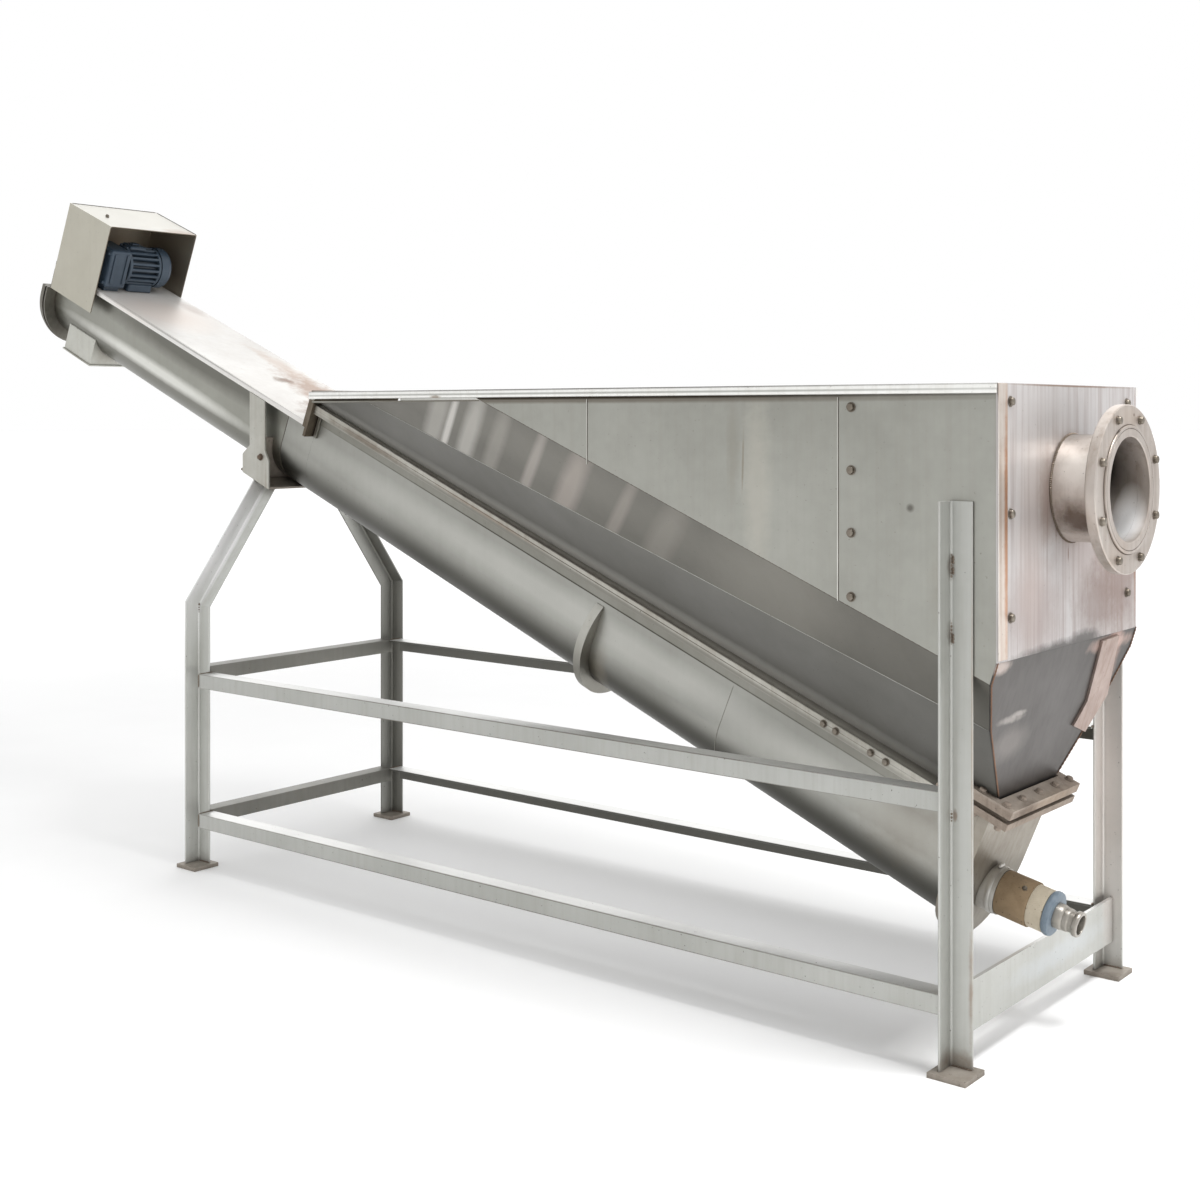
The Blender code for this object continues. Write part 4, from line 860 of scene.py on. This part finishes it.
def ridged_end(name, stations, material):
    """A plate whose outline at each station is a half round with a neck on top: the round's radius changes
    from station to station, the neck stays, and both faces close at the middle.
    """
    neck, shoulder, top = 0.1275, 0.0298, 0.1095
    sweep = np.linspace(0, math.pi, 61)
    rows = []
    for place, radius in stations:
        across = np.concatenate(((neck, neck, radius), radius * np.cos(sweep), (-radius, -neck, -neck)))
        rise = np.concatenate(((top, shoulder, shoulder), -radius * np.sin(sweep), (shoulder, shoulder, top)))
        rows.append(on_trough(place, across, rise))
    caps = [np.broadcast_to(rows[i].mean(axis=0), rows[i].shape) for i in (0, -1)]
    return surface(name, np.array([caps[0], *rows, caps[1]]), material)


# Stainless under old grease: darker, a little glossier, and black-brown in the grooves with grime and painted
# shade.
greased = weathered("greased_end_flange", "#8b8981", "#706d66", "#5b5146", roughness=0.42, runs=0.3, pits=0.6,
                    grime=0.7, reach=0.010)
ridged = ridged_end("ridged_top_end_plate",
                    [(-2.0380, 0.1570), (-2.0350, 0.1600), (-2.0270, 0.1600), (-2.0262, 0.1545),
                     (-2.0215, 0.1545), (-2.0208, 0.1645), (-2.0120, 0.1645), (-2.0112, 0.1570),
                     (-2.0085, 0.1570), (-2.0078, 0.1620), (-2.0006, 0.1620)], greased)
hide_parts("upper_end_plate")
head_turn = np.radians(np.array([3, 33, 147, 177]))
head_spots = on_trough(-2.0382 + np.zeros(4), 0.142 * np.cos(head_turn), -0.142 * np.sin(head_turn))
up_slope = (-math.cos(SLOPE), 0, math.sin(SLOPE))
bolts("top_end_bolts", head_spots, up_slope, 0.012, 0.007, 0.017, bolt_steel, 31)


# Cover. A folded 3 mm lid, washed by rain to a pale chalky grey, with brown silt and scratches at its low
# end, and near the hood a painted warm reflection of it, lightened with painted light.

# Rain has left chalk on the stainless, so it mirrors little and is almost white.
cover_marks = [
    (on_trough(-0.85, 0.07, 0.11), (0.26, 0.09, 0.03), "#a5826a", 0.70, SLOPE, 1.4),
    (on_trough(-0.74, 0.03, 0.11), (0.10, 0.15, 0.03), "#87664e", 0.75, SLOPE, 1.4),
    (on_trough(-0.98, 0.01, 0.11), (0.03, 0.04, 0.03), "#7d5f4a", 0.70, SLOPE, 1.5),
    (on_trough(-1.10, 0.10, 0.11), (0.20, 0.04, 0.03), "#bfa692", 0.45, SLOPE, 1.3),
    # Painted light and a painted reflection of the hood.
    (on_trough(-1.56, -0.03, 0.11), (0.22, 0.20, 0.03), "#ece2da", 0.85, SLOPE, 0.2),
    (on_trough(-1.62, 0.12, 0.11), (0.10, 0.04, 0.03), "#a8968a", 0.40, SLOPE, 0.9),
    (on_trough(-1.3, -0.153, 0.108), (0.7, 0.01, 0.004), "#8d8a83", 0.60, SLOPE, 0.3),
]
cover_steel = weathered("rain_washed_stainless", "#ecebe8", "#dfdcd8", "#c9c2b8", roughness=0.46, runs=0.1,
                        pits=0.4, patches=cover_marks, grain=(10, 400, 400), grime=0.2, metallic=0.4)
dress(cover_steel, "cover_plate")


# Chute. Folded sheet, coped and welded under the top of the trough, with a flat lip round its mouth.

# The chute is the cleanest sheet, with a brown edge along its lip.
chute_marks = [(on_trough(-1.83, -0.112, -0.148), (0.10, 0.02, 0.003), "#8a857b", 0.7, SLOPE, 0.4),
               (on_trough(-1.757, -0.05, -0.10), (0.004, 0.08, 0.06), "#8f887c", 0.5, SLOPE, 0.6)]
chute_steel = weathered("folded_chute_stainless", "#d4d4cd", "#c2c2ba", "#a79f91", roughness=0.42, runs=0.2,
                        pits=0.4, patches=chute_marks, metallic=0.8, grime=0.4)
dress(chute_steel, "discharge_chute")
share, ends = closing(121, 30)
coped = -np.sqrt(0.1256 ** 2 - 0.109 ** 2) * np.ones(len(share))
welds = [on_trough(-1.911 + 0.155 * share, side * 0.1105, coped) for side in (-1, 1)]
bead = tube("chute_weld", np.array(welds), 0.0014 * ends * (1 + 0.3 * np.sin(share * 230)), pale_edge, 8)


# Hood. A sheet-metal box over the drive, open towards the tank. Outside it is a warm satin beige from dust
# with painted light on its roof, inside it has painted brown shade, and a small lifting eye has been cut off
# its roof.

HOOD_MOUTH, HOOD_SIDE, HOOD_ROOF = -1.7402, 0.1635, 0.3258

# Satin sheet under an even layer of beige dust, with painted brown shade in the shelter of the box and
# painted light where it turns up.
hood_marks = [
    # Painted brown shade inside the hood.
    (on_trough(-1.7600, 0.02, 0.180), (0.30, 0.1640, 0.1440), "#a28b78", 0.85, SLOPE, 0.10),
    (on_trough(-1.7500, 0.12, 0.070), (0.06, 0.060, 0.060), "#b9a898", 0.55, SLOPE, 0.6),
    (on_trough(-1.7450, 0.11, 0.3265), (0.05, 0.090, 0.010), "#b39c8c", 0.50, SLOPE, 0.8),
]
hood_steel = weathered("dusty_hood_stainless", "#c6c3b6", "#b9b5a8", "#a69f90", roughness=0.45, runs=0.08,
                       pits=0.25, patches=hood_marks, grime=0.50, grime_colour="#755c46", reach=0.20,
                       metallic=0.8, spread=0.05, tints=[((0.38, 0, 0.92), "#d6d4cd", 0.95, 0.6, 0.9)])
dress(hood_steel, "drive_hood")
stub_spots = on_trough(np.array([-1.850, -1.866]), np.array([-0.108, -0.098]), 0.3252)
bolts("cut_lifting_eye", stub_spots, up_square, 0.008, 0.003, 0.012, grimy_plate, 37)
# The mouth's edges are dark with dirt, and so are the roof's, where the sheet was folded and spot-welded.
share, closed_ends = closing(61, 30)
across = HOOD_SIDE * (2 * share - 1)
mouth = [on_trough(HOOD_MOUTH, side * HOOD_SIDE, 0.036 + share * 0.287) for side in (-1, 1)]
mouth.append(on_trough(HOOD_MOUTH, across, 0.3235))
trim = tube("hood_mouth_edge", np.array(mouth), 0.0014 * closed_ends, grimy_plate, 8)
roof = [on_trough(-1.9760, across, HOOD_ROOF),
        on_trough(-1.9750 + share * 0.234, HOOD_SIDE + 0.0002, HOOD_ROOF)]
trim = tube("hood_roof_edge", np.array(roof), 0.0008 * closed_ends, dark_joint, 6)


# Drive. The motor is a cast housing with cooling fins along it, a smooth gearbox on one end and a fan cowl on
# the other, brush-painted in blue-grey enamel that has dulled and gathered dust.

# Enamel is a paint film: not a metal, half glossy, in blotches 30 mm wide, with painted shade at the roots of
# the fins.
enamel, tree, shader, place = blank("dulled_blue_enamel")
fade = add(tree, "ShaderNodeTexNoise", {"Scale": 30.0, "Detail": 5.0}, {"Vector": place})
paint = add(tree, "ShaderNodeMix", {"data_type": "RGBA", 6: linear("#2b3846"), 7: linear("#42515f")},
            {0: fade.outputs[0]})
# Painted shade between the fins, found by ambient occlusion.
nook = add(tree, "ShaderNodeAmbientOcclusion", {"samples": 6, "Distance": 0.012})
deep = add(tree, "ShaderNodeMapRange", {"From Min": 0.8, "From Max": 0.2, "To Max": 0.9},
           {"Value": nook.outputs["AO"]})
shaded = add(tree, "ShaderNodeMix", {"data_type": "RGBA", 7: linear("#0d1116")},
             {0: deep.outputs[0], 6: paint.outputs[2]})
tree.links.new(shaded.outputs[2], shader.inputs["Base Color"])
peel = add(tree, "ShaderNodeBump", {"Strength": 0.25, "Distance": 0.0005}, {"Height": fade.outputs[0]})
tree.links.new(peel.outputs[0], shader.inputs["Normal"])
shader.inputs["Roughness"].default_value = 0.42
dress(enamel, "gearbox", "fan_cowl")

MOTOR_ALONG, MOTOR_HEIGHT = -1.795, 0.186
hub = on_trough(MOTOR_ALONG, 0, MOTOR_HEIGHT)


def finned(height, angle):
    """Fins along the motor: radius falls by 15 mm between them, over the middle of its length only."""
    wave = 0.5 - 0.5 * np.cos(angle * 20)
    along = (height > -0.052) & (height < 0.047)
    return -0.015 * np.clip(wave * 2.6 - 0.8, 0, 1) * along


body = [(0, -0.0655), (0.058, -0.0655), (0.0635, -0.062), (0.064, -0.053), (0.064, -0.0518), (0.064, 0.0468),
        (0.064, 0.048), (0.064, 0.0558), (0.062, 0.058), (0, 0.058)]
motor = turned("finned_motor", body, hub, (0, 1, 0), enamel, steps=400, ripple=finned)
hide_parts("motor")
# Blocks cast on: the foot, the cable box with its lid, and two ribs across the gearbox.
for name, low, high, soft in (
        ("motor_foot", (-0.045, -0.040, 0.1103), (0.045, 0.050, 0.138), 0.003),
        ("motor_top_box", (-0.030, -0.050, 0.243), (0.022, 0.010, 0.256), 0.004),
        ("motor_top_lid", (-0.012, -0.036, 0.2562), (0.008, -0.010, 0.262), 0.002),
        ("gearbox_rib", (0.0622, -0.128, 0.140), (0.0655, -0.118, 0.236), 0.001),
        ("gearbox_rib_low", (0.0622, -0.084, 0.140), (0.0655, -0.074, 0.236), 0.001)):
    block = sloped_block(name, np.array((MOTOR_ALONG, 0, 0)) + low, np.array((MOTOR_ALONG, 0, 0)) + high,
                         enamel, soft)
gear_face = on_trough(np.array([-0.048, 0.048, -0.048, 0.048]) + MOTOR_ALONG, -0.1403,
                      np.array([0.138, 0.138, 0.234, 0.234]))
bolts("gearbox_bolts", gear_face, (0, -1, 0), 0.009, 0.004, 0.012, enamel, 19)
lid_turn = np.radians(np.array([20, 70, 110, 160]))
lid_spots = on_trough(MOTOR_ALONG + 0.052 * np.cos(lid_turn), -0.0590 + np.zeros(4),
                      MOTOR_HEIGHT + 0.0632 * np.sin(lid_turn))
bolts("end_shield_bolts", lid_spots, (0, 0, 1), 0.008, 0.006, 0.010, enamel, 41)


# Frame. Legs and rails are 50 mm stainless angle with rolled, rounded edges, bead-blasted to a light grey on
# the outside; rust has crept from the welds and the sawn edges.

# Bead-blasted angle is light grey and even, with brown at its welds and sawn ends. It has painted light on
# top and painted shade below, and the rails and left legs have painted shade on the sides that face each
# other.
frame_marks = [
    (from_inlet(-0.093, -0.352, 0.963), (0.010, 0.02, 0.034), "#5f5142", 0.50, 0, 1.4),
    (from_inlet(-0.093, -0.352, 0.835), (0.009, 0.02, 0.030), "#635546", 0.50, 0, 1.4),
    (from_inlet(-0.085, -0.352, 0.487), (0.006, 0.02, 0.016), "#7a6452", 0.70, 0, 1.2),
    (from_inlet(-0.073, -0.370, 0.022), (0.05, 0.05, 0.030), "#7d6b5a", 0.60, 0, 1.0),
    (from_inlet(-0.052, -0.370, 0.16), (0.006, 0.05, 0.13), "#8c7460", 0.60, 0, 1.1),
    (from_inlet(-0.050, -0.370, 0.60), (0.002, 0.05, 0.5), "#a08a74", 0.55, 0, 0.9),
    (from_inlet(-0.099, -0.370, 0.35), (0.002, 0.05, 0.4), "#a5917c", 0.50, 0, 0.9),
    (from_inlet(-0.073, 0.370, 0.50), (0.06, 0.06, 0.62), "#e6dcd7", 0.60, 0, 0.3),
    (from_inlet(-0.040, 0.345, 0.40), (0.05, 0.004, 0.50), "#8a6b52", 0.45, 0, 1.1),
    (from_inlet(-2.376, -0.370, 0.025), (0.05, 0.05, 0.030), "#7d6b5a", 0.55, 0, 1.0),
    (from_inlet(-0.070, 0.10, 0.115), (0.02, 0.30, 0.030), "#c7ccd0", 0.45, 0, 1.2),
]
frame_tints = [((0, 0, 1), "#dededc", 0.95, 0.5, 0.9), ((0, 0, -1), "#8d8c86", 0.50, -0.25, 0.55)]
blast = {"runs": 0.22, "pits": 0.85, "grime": 0.6, "reach": 0.015, "metallic": 0.75, "spread": 0.08}
blasted = weathered("bead_blasted_angle", "#c3c4c0", "#b5b6b1", "#9b968b", patches=frame_marks,
                    tints=frame_tints, **blast)
rail_edges = [(from_inlet(-1.22, -0.3853, z), (1.70, 0.006, 0.0017), "#5f574d", 0.70, 0, 0.5)
              for z in (0.5365, 0.4995, 0.1515, 0.1145)]
# Painted light on the brace's face and painted shade on the back left leg.
clean_brace = [(from_inlet(-2.400, -0.245, 0.90), (0.022, 0.26, 0.36), "#ffffff", 0.95, 0, 0.1),
               (from_inlet(-2.376, 0.33, 0.50), (0.07, 0.30, 0.95), "#82817b", 0.85, 0, 0.1)]
shaded_angle = weathered("bead_blasted_rail", "#bdbeba", "#b0b1ac", "#958f84", inward=("#5a5953", 0.9),
                         tints=frame_tints, patches=rail_edges, **blast)
# The left legs are a lighter copy of the angle: painted light.
left_leg_steel = weathered("bead_blasted_left_leg", "#d8d9d5", "#cacbc6", "#a39d92", inward=("#5a5953", 0.9),
                           tints=frame_tints, patches=clean_brace, **blast)
# The left cross rails are a darker copy of the angle: painted shade.
sheltered_angle = weathered("shaded_cross_rail", "#86857f", "#797872", "#6a6459", roughness=0.45, **blast)


def rounded_angle(half=0.025, wall=0.005, outer=0.0022, inner=0.005, steps=5):
    """The section of rolled angle, heel at the back left: six corners, each an arc of its own radius."""
    corners = [((-half, -half), outer), ((wall - half, -half), outer), ((wall - half, half - wall), -inner),
               ((half, half - wall), outer), ((half, half), outer), ((-half, half), outer * 0.6)]
    places = np.array([place for place, _ in corners])
    line = []
    for i, (_, radius) in enumerate(corners):
        before = places[i - 1] - places[i]
        after = places[(i + 1) % len(places)] - places[i]
        before, after = before / np.linalg.norm(before), after / np.linalg.norm(after)
        size = abs(radius)
        middle = places[i] + (before + after) * size
        start, end = middle - after * size, middle - before * size
        share = np.linspace(0, 1, steps)[:, None]
        arc = start + (end - start) * share - middle
        line.append(middle + arc / np.linalg.norm(arc, axis=1)[:, None] * size)
    return np.vstack(line)


section = rounded_angle()
heel = np.array((-0.0225, 0.0225))


def carried(name, outline, hub, stops, material):
    """An outline carried from plane to plane along straight runs, as a mitred bar. Every point moves along
    the run until it meets the next plane; both ends close towards the heel of the section.
    """
    points = np.vstack((outline, hub))
    rings = []
    for (normal, distance), run in stops:
        normal, run = np.asarray(normal, dtype=float), np.asarray(run, dtype=float)
        points = points + run * ((distance - points @ normal) / (run @ normal))[:, None]
        rings.append(points)
    rings = np.array(rings)
    grid = rings[:, :-1]
    ends = [np.broadcast_to(rings[i, -1:], (1, *grid.shape[1:])) for i in (0, -1)]
    made = surface(name, np.concatenate((ends[0], grid, ends[1])), material, sharp=20)
    return made


RIGHT_LEG = INLET_WALL - 0.0734
LEFT_LEG = INLET_WALL - 2.376
LEG_SIDE, KNEE, LEAN = 0.3703, 0.727, math.radians(35.8)
saddle_line = float(np.dot(on_trough(0, 0, -0.1323), up_square))
for end, x in (("right", RIGHT_LEG), ("left", LEFT_LEG)):
    for label, side in SIDES:
        spot = np.array((x, side * LEG_SIDE))
        outline = np.column_stack((section + spot, np.zeros(len(section))))
        centre_line = np.array([[*(heel + spot), 0.0]])
        upright = (0, 0, 1)
        stops = [((upright, 0.0103), upright)]
        if end == "right":
            stops.append(((upright, 1.088), upright))
        else:
            lean = -side * LEAN
            halfway = (0, math.sin(lean / 2), math.cos(lean / 2))
            knee = float(np.dot(halfway, (x, spot[1], KNEE)))
            stops.append(((halfway, knee), upright))
            stops.append(((up_square, saddle_line), (0, math.sin(lean), math.cos(lean))))
        leg = carried(f"angle_leg_{label}_{end}", outline, centre_line, stops,
                      blasted if end == "right" else left_leg_steel)
        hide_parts(f"leg_{label}_{end}")

rail_tops = {"front": (0.537, 0.152), "back": (0.555, 0.157)}
RAIL_SIDE = LEG_SIDE - 0.010
# A rail is the same angle with its hanging leg cut down to 38 mm.
drop = np.maximum(section[:, 1], -0.013)
for level, row in (("upper", 0), ("lower", 1)):
    for label, side in SIDES:
        top = rail_tops[label][row]
        outline = np.column_stack((np.zeros(len(section)), side * (RAIL_SIDE - section[:, 0]),
                                   top - 0.025 + drop))
        hub_line = np.array([[0, side * (RAIL_SIDE + 0.0225), top - 0.0025]])
        run = (1, 0, 0)
        stops = [((run, LEFT_LEG + 0.0253), run), ((run, RIGHT_LEG - 0.0253), run)]
        rail = carried(f"angle_{level}_rail_{label}", outline, hub_line, stops, shaded_angle)
        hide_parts(f"{level}_rail_{label}")
    top = rail_tops["back"][row]
    outline = np.column_stack((LEFT_LEG - section[:, 0], np.zeros(len(section)), top - 0.025 + drop))
    hub_line = np.array([[LEFT_LEG + 0.0225, 0, top - 0.0025]])
    run = (0, 1, 0)
    stops = [((run, -0.3450), run), ((run, 0.3450), run)]
    rail = carried(f"angle_{level}_rail_left", outline, hub_line, stops, sheltered_angle)
    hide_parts(f"{level}_rail_left")
dress(blasted, "end_crossbar")
# The foot plates stand in yard dirt: rough, brown and lumpy, with the middle trodden paler.
plate_marks = [((x, side * LEG_SIDE, 0.0105), (0.036, 0.036, 0.002), "#b5aea5", 0.60, 0, 0.9)
               for x in (RIGHT_LEG, LEFT_LEG) for side in (-1, 1)]
yard_dirt = weathered("dirty_foot_plate", "#a39b91", "#837b71", "#635a4f", roughness=0.6, runs=0.3, pits=0.9,
                      crust=0.3, reach=0.012, patches=plate_marks, metallic=0.5)
dress(yard_dirt, *(f"foot_plate_{label}_{end}" for label, _ in SIDES for end in ("left", "right")))


# Saddle. A welded seat under the upper trough, between the leaning legs, with a flat strap bent up each side;
# the straps are cleaner than the seat.

# The seat is as dirty as the foot plates, for nothing washes it.
dress(yard_dirt, "saddle")
# Bent flat bar, a warm satin grey; its one nut is plain steel and has rusted through.
strap_marks = [(from_inlet(-2.376, -0.155, 1.02), (0.07, 0.02, 0.05), "#a9a296", 0.45, 0, 0.9),
               (from_inlet(-2.40, -0.155, 0.985), (0.05, 0.02, 0.03), "#8c7d6c", 0.50, 0, 1.1),
               (from_inlet(-2.345, -0.155, 1.03), (0.006, 0.02, 0.10), "#8f8475", 0.40, 0, 0.9)]
strap_steel = weathered("bent_strap_stainless", "#c9c8c1", "#b3b2aa", "#9c9385", roughness=0.42, runs=0.3,
                        pits=0.7, patches=strap_marks, metallic=0.8, grime=0.5)
dress(strap_steel, "saddle_strap_front", "saddle_strap_back")
rust = weathered("rusted_nut", "#8a7868", "#66574a", "#4e4036", roughness=0.65, runs=0.3, pits=0.8,
                 metallic=0.4)
for label, side in SIDES:
    bolts(f"strap_bolt_{label}", [from_inlet(-2.368, side * 0.1553, 1.131)], (0, side, 0), 0.013, 0.008,
          0.020, rust, 23)


# Welds. Hand-laid beads where the rails meet the legs, at the foot plates, round the inlet pipe and down the
# stitched corner of the near leg. Never brushed after welding, they are scorched dark brown and scaly.

scorched = weathered("unbrushed_weld", "#8c8174", "#625549", "#4a3a2f", roughness=0.55, runs=0.4, pits=1.0,
                     crust=0.5, metallic=0.7)


def beads(name, pairs, radius, pitch=0.004):
    """Weld beads between pairs of points: the radius swells with the sine of the ripples by a quarter, and
    falls to nothing at both ends.
    """
    pairs = np.asarray(pairs, dtype=float)
    share, ends = closing(41, 8)
    length = np.linalg.norm(pairs[:, 1] - pairs[:, 0], axis=1)[:, None]
    swell = radius * (1 + 0.25 * np.sin(2 * math.pi * share * length / pitch)) * ends
    made = tube(name, pairs[:, :1] + (pairs[:, 1:] - pairs[:, :1]) * share[None, :, None], swell, scorched)
    return made


joints = []
for label, side in SIDES:
    for top in rail_tops[label]:
        for x in (LEFT_LEG + 0.0252, RIGHT_LEG - 0.0252):
            joints.append(((x, side * 0.3850, top - 0.036), (x, side * 0.3850, top)))
            joints.append(((x, side * 0.3850, top), (x, side * 0.3365, top)))
for x in (LEFT_LEG, RIGHT_LEG):
    for side in (-1, 1):
        y = side * LEG_SIDE
        joints.append(((x - 0.0255, y - 0.024, 0.0105), (x - 0.0255, y + 0.024, 0.0105)))
        joints.append(((x - 0.024, y + 0.0255, 0.0105), (x + 0.024, y + 0.0255, 0.0105)))
        joints.append(((x - 0.019, y + 0.0195, 0.0105), (x + 0.024, y + 0.0195, 0.0105)))
beads("frame_welds", joints, 0.0022)
stitches = [((x, -0.3500, low), (x, -0.3500, high))
            for x, low, high in ((RIGHT_LEG - 0.0195, 0.935, 0.990), (RIGHT_LEG - 0.0195, 0.812, 0.858),
                                 (RIGHT_LEG - 0.0195, 0.475, 0.498), (RIGHT_LEG - 0.0155, 0.948, 0.962),
                                 (RIGHT_LEG - 0.0155, 0.968, 0.984), (RIGHT_LEG - 0.0155, 0.816, 0.834),
                                 (LEFT_LEG - 0.0195, 0.700, 0.728))]
beads("leg_stitch_welds", stitches, 0.0026, 0.007)
turn = np.radians(np.stack((np.arange(0, 360, 15), np.arange(0, 360, 15) + math.degrees(0.27)), axis=-1))
pipe_weld = np.stack((np.full(turn.shape, INLET_WALL + 0.001), 0.1100 * np.cos(turn),
                      INLET_Z + 0.1100 * np.sin(turn)), axis=-1)
beads("inlet_pipe_weld", pipe_weld, 0.0028)


# Drain. A steel clamp grips a canvas-covered hose; its cream inner layer shows past the cut cover, then a
# blue plastic ring and a turned nozzle with a groove and a lip. All are spun round one falling axis.

DRAIN_FALL, DRAIN_BORE = math.radians(12.6), 0.020
drain_start = np.array(from_inlet(-0.158, 0, 0.254))
drain_axis = np.array((math.cos(DRAIN_FALL), 0, -math.sin(DRAIN_FALL)))
drain_up = np.array((math.sin(DRAIN_FALL), 0, math.cos(DRAIN_FALL)))


def on_drain(name, profile, material, node=None, ripple=None):
    """A closed profile of (radius, distance from the drain's start) spun round the drain's axis."""
    piece = turned(name, profile, drain_start, drain_axis, material, 96, ripple, close=True)
    if node:
        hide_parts(node)


# Cold-rolled clamp strip: the brightest metal here, with a thin film of dirt.
clamp_steel = weathered("bright_clamp_steel", "#dad9d5", "#b7b4ad", "#97897a", roughness=0.34, runs=0.2,
                        pits=0.5, metallic=0.85, reach=0.008)
dress(clamp_steel, "drain_clamp")
on_drain("clamp_band", [(0.0490, -0.012), (0.0490, -0.0005), (0.0512, -0.0005), (0.0518, -0.003),
                        (0.0518, -0.0095), (0.0512, -0.012)], clamp_steel)
share, ends = closing(21, 12)
lug = drain_start - 0.006 * drain_axis + 0.0545 * drain_up + np.array((0, -0.006, 0))
lug_line = lug + (share[:, None] - 0.5) * np.array((0, 0.022, 0))
lug_piece = tube("clamp_screw", lug_line[None], 0.0042 * ends, clamp_steel, 12)


def cloth(name, light, dark, thread):
    """Woven canvas: two sets of sine waves across each other, two threads' width long, over a blotchy dye."""
    made, tree, shader, place = blank(name)
    dye = add(tree, "ShaderNodeTexNoise", {"Scale": 45.0, "Detail": 6.0}, {"Vector": place})
    colour = add(tree, "ShaderNodeMix", {"data_type": "RGBA", 6: linear(light), 7: linear(dark)},
                 {0: dye.outputs[0]}).outputs[2]
    holes = add(tree, "ShaderNodeTexNoise", {"Scale": 170.0, "Detail": 1.0}, {"Vector": place})
    hole = add(tree, "ShaderNodeMapRange", {"From Min": 0.70, "From Max": 0.74, "To Max": 0.8},
               {"Value": holes.outputs[0]})
    colour = add(tree, "ShaderNodeMix", {"data_type": "RGBA", 7: linear("#4a3a28")},
                 {0: hole.outputs[0], 6: colour}).outputs[2]
    weave = add(tree, "ShaderNodeTexWave", {"wave_type": "BANDS", "bands_direction": "X",
                                            "Scale": 1 / thread / 6.28, "Distortion": 1.5}, {"Vector": place})
    cross = add(tree, "ShaderNodeTexWave", {"wave_type": "RINGS", "rings_direction": "X",
                                            "Scale": 1 / thread / 6.28, "Distortion": 1.5}, {"Vector": place})
    both = add(tree, "ShaderNodeMath", {"operation": "ADD"}, {0: weave.outputs[1], 1: cross.outputs[1]})
    relief = add(tree, "ShaderNodeBump", {"Strength": 0.5, "Distance": 0.0006}, {"Height": both.outputs[0]})
    tree.links.new(colour, shader.inputs["Base Color"])
    tree.links.new(relief.outputs[0], shader.inputs["Normal"])
    shader.inputs["Roughness"].default_value = 0.9
    return made


# Canvas scatters light and has no shine. Its threads are 1.5 mm wide, coarser than real ones, to show.
brown_canvas = cloth("worn_brown_canvas", "#a28d70", "#78634a", 0.0015)
cream_hose = cloth("cream_hose_layer", "#cdc3b0", "#ab9f8a", 0.0015)


def rumpled(height, angle):
    """Two low swells round the hose, up to 0.5 mm high."""
    return 0.00045 * np.sin(3 * angle + 140 * height) * np.sin(2 * angle + 1.0)


outer_layer = [(DRAIN_BORE, 0.0083), (DRAIN_BORE, 0.0778), (0.0474, 0.0778), (0.0481, 0.0765),
               (0.0481, 0.0100), (0.0473, 0.0083)]
inner_layer = [(DRAIN_BORE, 0.0780), (DRAIN_BORE, 0.1120), (0.0440, 0.1120), (0.0450, 0.1105),
               (0.0450, 0.0782)]
on_drain("canvas_hose_cover", outer_layer, brown_canvas, "drain_sleeve", rumpled)
on_drain("cream_hose", inner_layer, cream_hose, "drain_sleeve")
# A stud sits on the hose's upper front, 38 degrees from its top.
stud_way = 0.78 * drain_up + 0.62 * np.array((0, -1, 0))
stud = drain_start + drain_axis * 0.062 + 0.0478 * stud_way
bolts("hose_stud", [stud], stud_way, 0.008, 0.004, 0.011, bolt_steel, 43)

# Moulded plastic in a dull blue, scuffed paler in blotches of about 10 mm.
moulded, tree, shader, place = blank("moulded_blue_plastic")
scuff = add(tree, "ShaderNodeTexNoise", {"Scale": 90.0, "Detail": 4.0}, {"Vector": place})
blue = add(tree, "ShaderNodeMix", {"data_type": "RGBA", 6: linear("#5b6c7b"), 7: linear("#85919b")},
           {0: scuff.outputs[0]})
tree.links.new(blue.outputs[2], shader.inputs["Base Color"])
shader.inputs["Roughness"].default_value = 0.5
ring_profile = [(DRAIN_BORE, 0.1123), (DRAIN_BORE, 0.128), (0.0430, 0.128), (0.0455, 0.1265),
                (0.0470, 0.1225), (0.0470, 0.1180), (0.0455, 0.1140), (0.0430, 0.1123)]
on_drain("moulded_blue_ring", ring_profile, moulded, "drain_ring")

# Lathe-turned steel, smooth and rather bright, with rust deep in the bore.
nozzle_profile = [(DRAIN_BORE, 0.1283), (DRAIN_BORE, 0.1790), (0.0205, 0.181), (0.0255, 0.181),
                  (0.0265, 0.1795), (0.0265, 0.1710), (0.0255, 0.1695), (0.0225, 0.1680), (0.0225, 0.1600),
                  (0.0240, 0.1585), (0.0245, 0.1560), (0.0245, 0.1490), (0.0235, 0.1480), (0.0245, 0.1470),
                  (0.0265, 0.1400), (0.0265, 0.1283)]
bore_marks = [(drain_start + drain_axis * 0.150, (0.028, 0.0195, 0.0195), "#7d5a40", 0.95, DRAIN_FALL, 0.1)]
nozzle_steel = weathered("turned_nozzle_steel", "#b1ada6", "#928d84", "#776a5b", roughness=0.36, runs=0.3,
                         pits=0.6, reach=0.008, metallic=0.8, patches=bore_marks)
on_drain("turned_nozzle", nozzle_profile, nozzle_steel, "drain_nozzle")
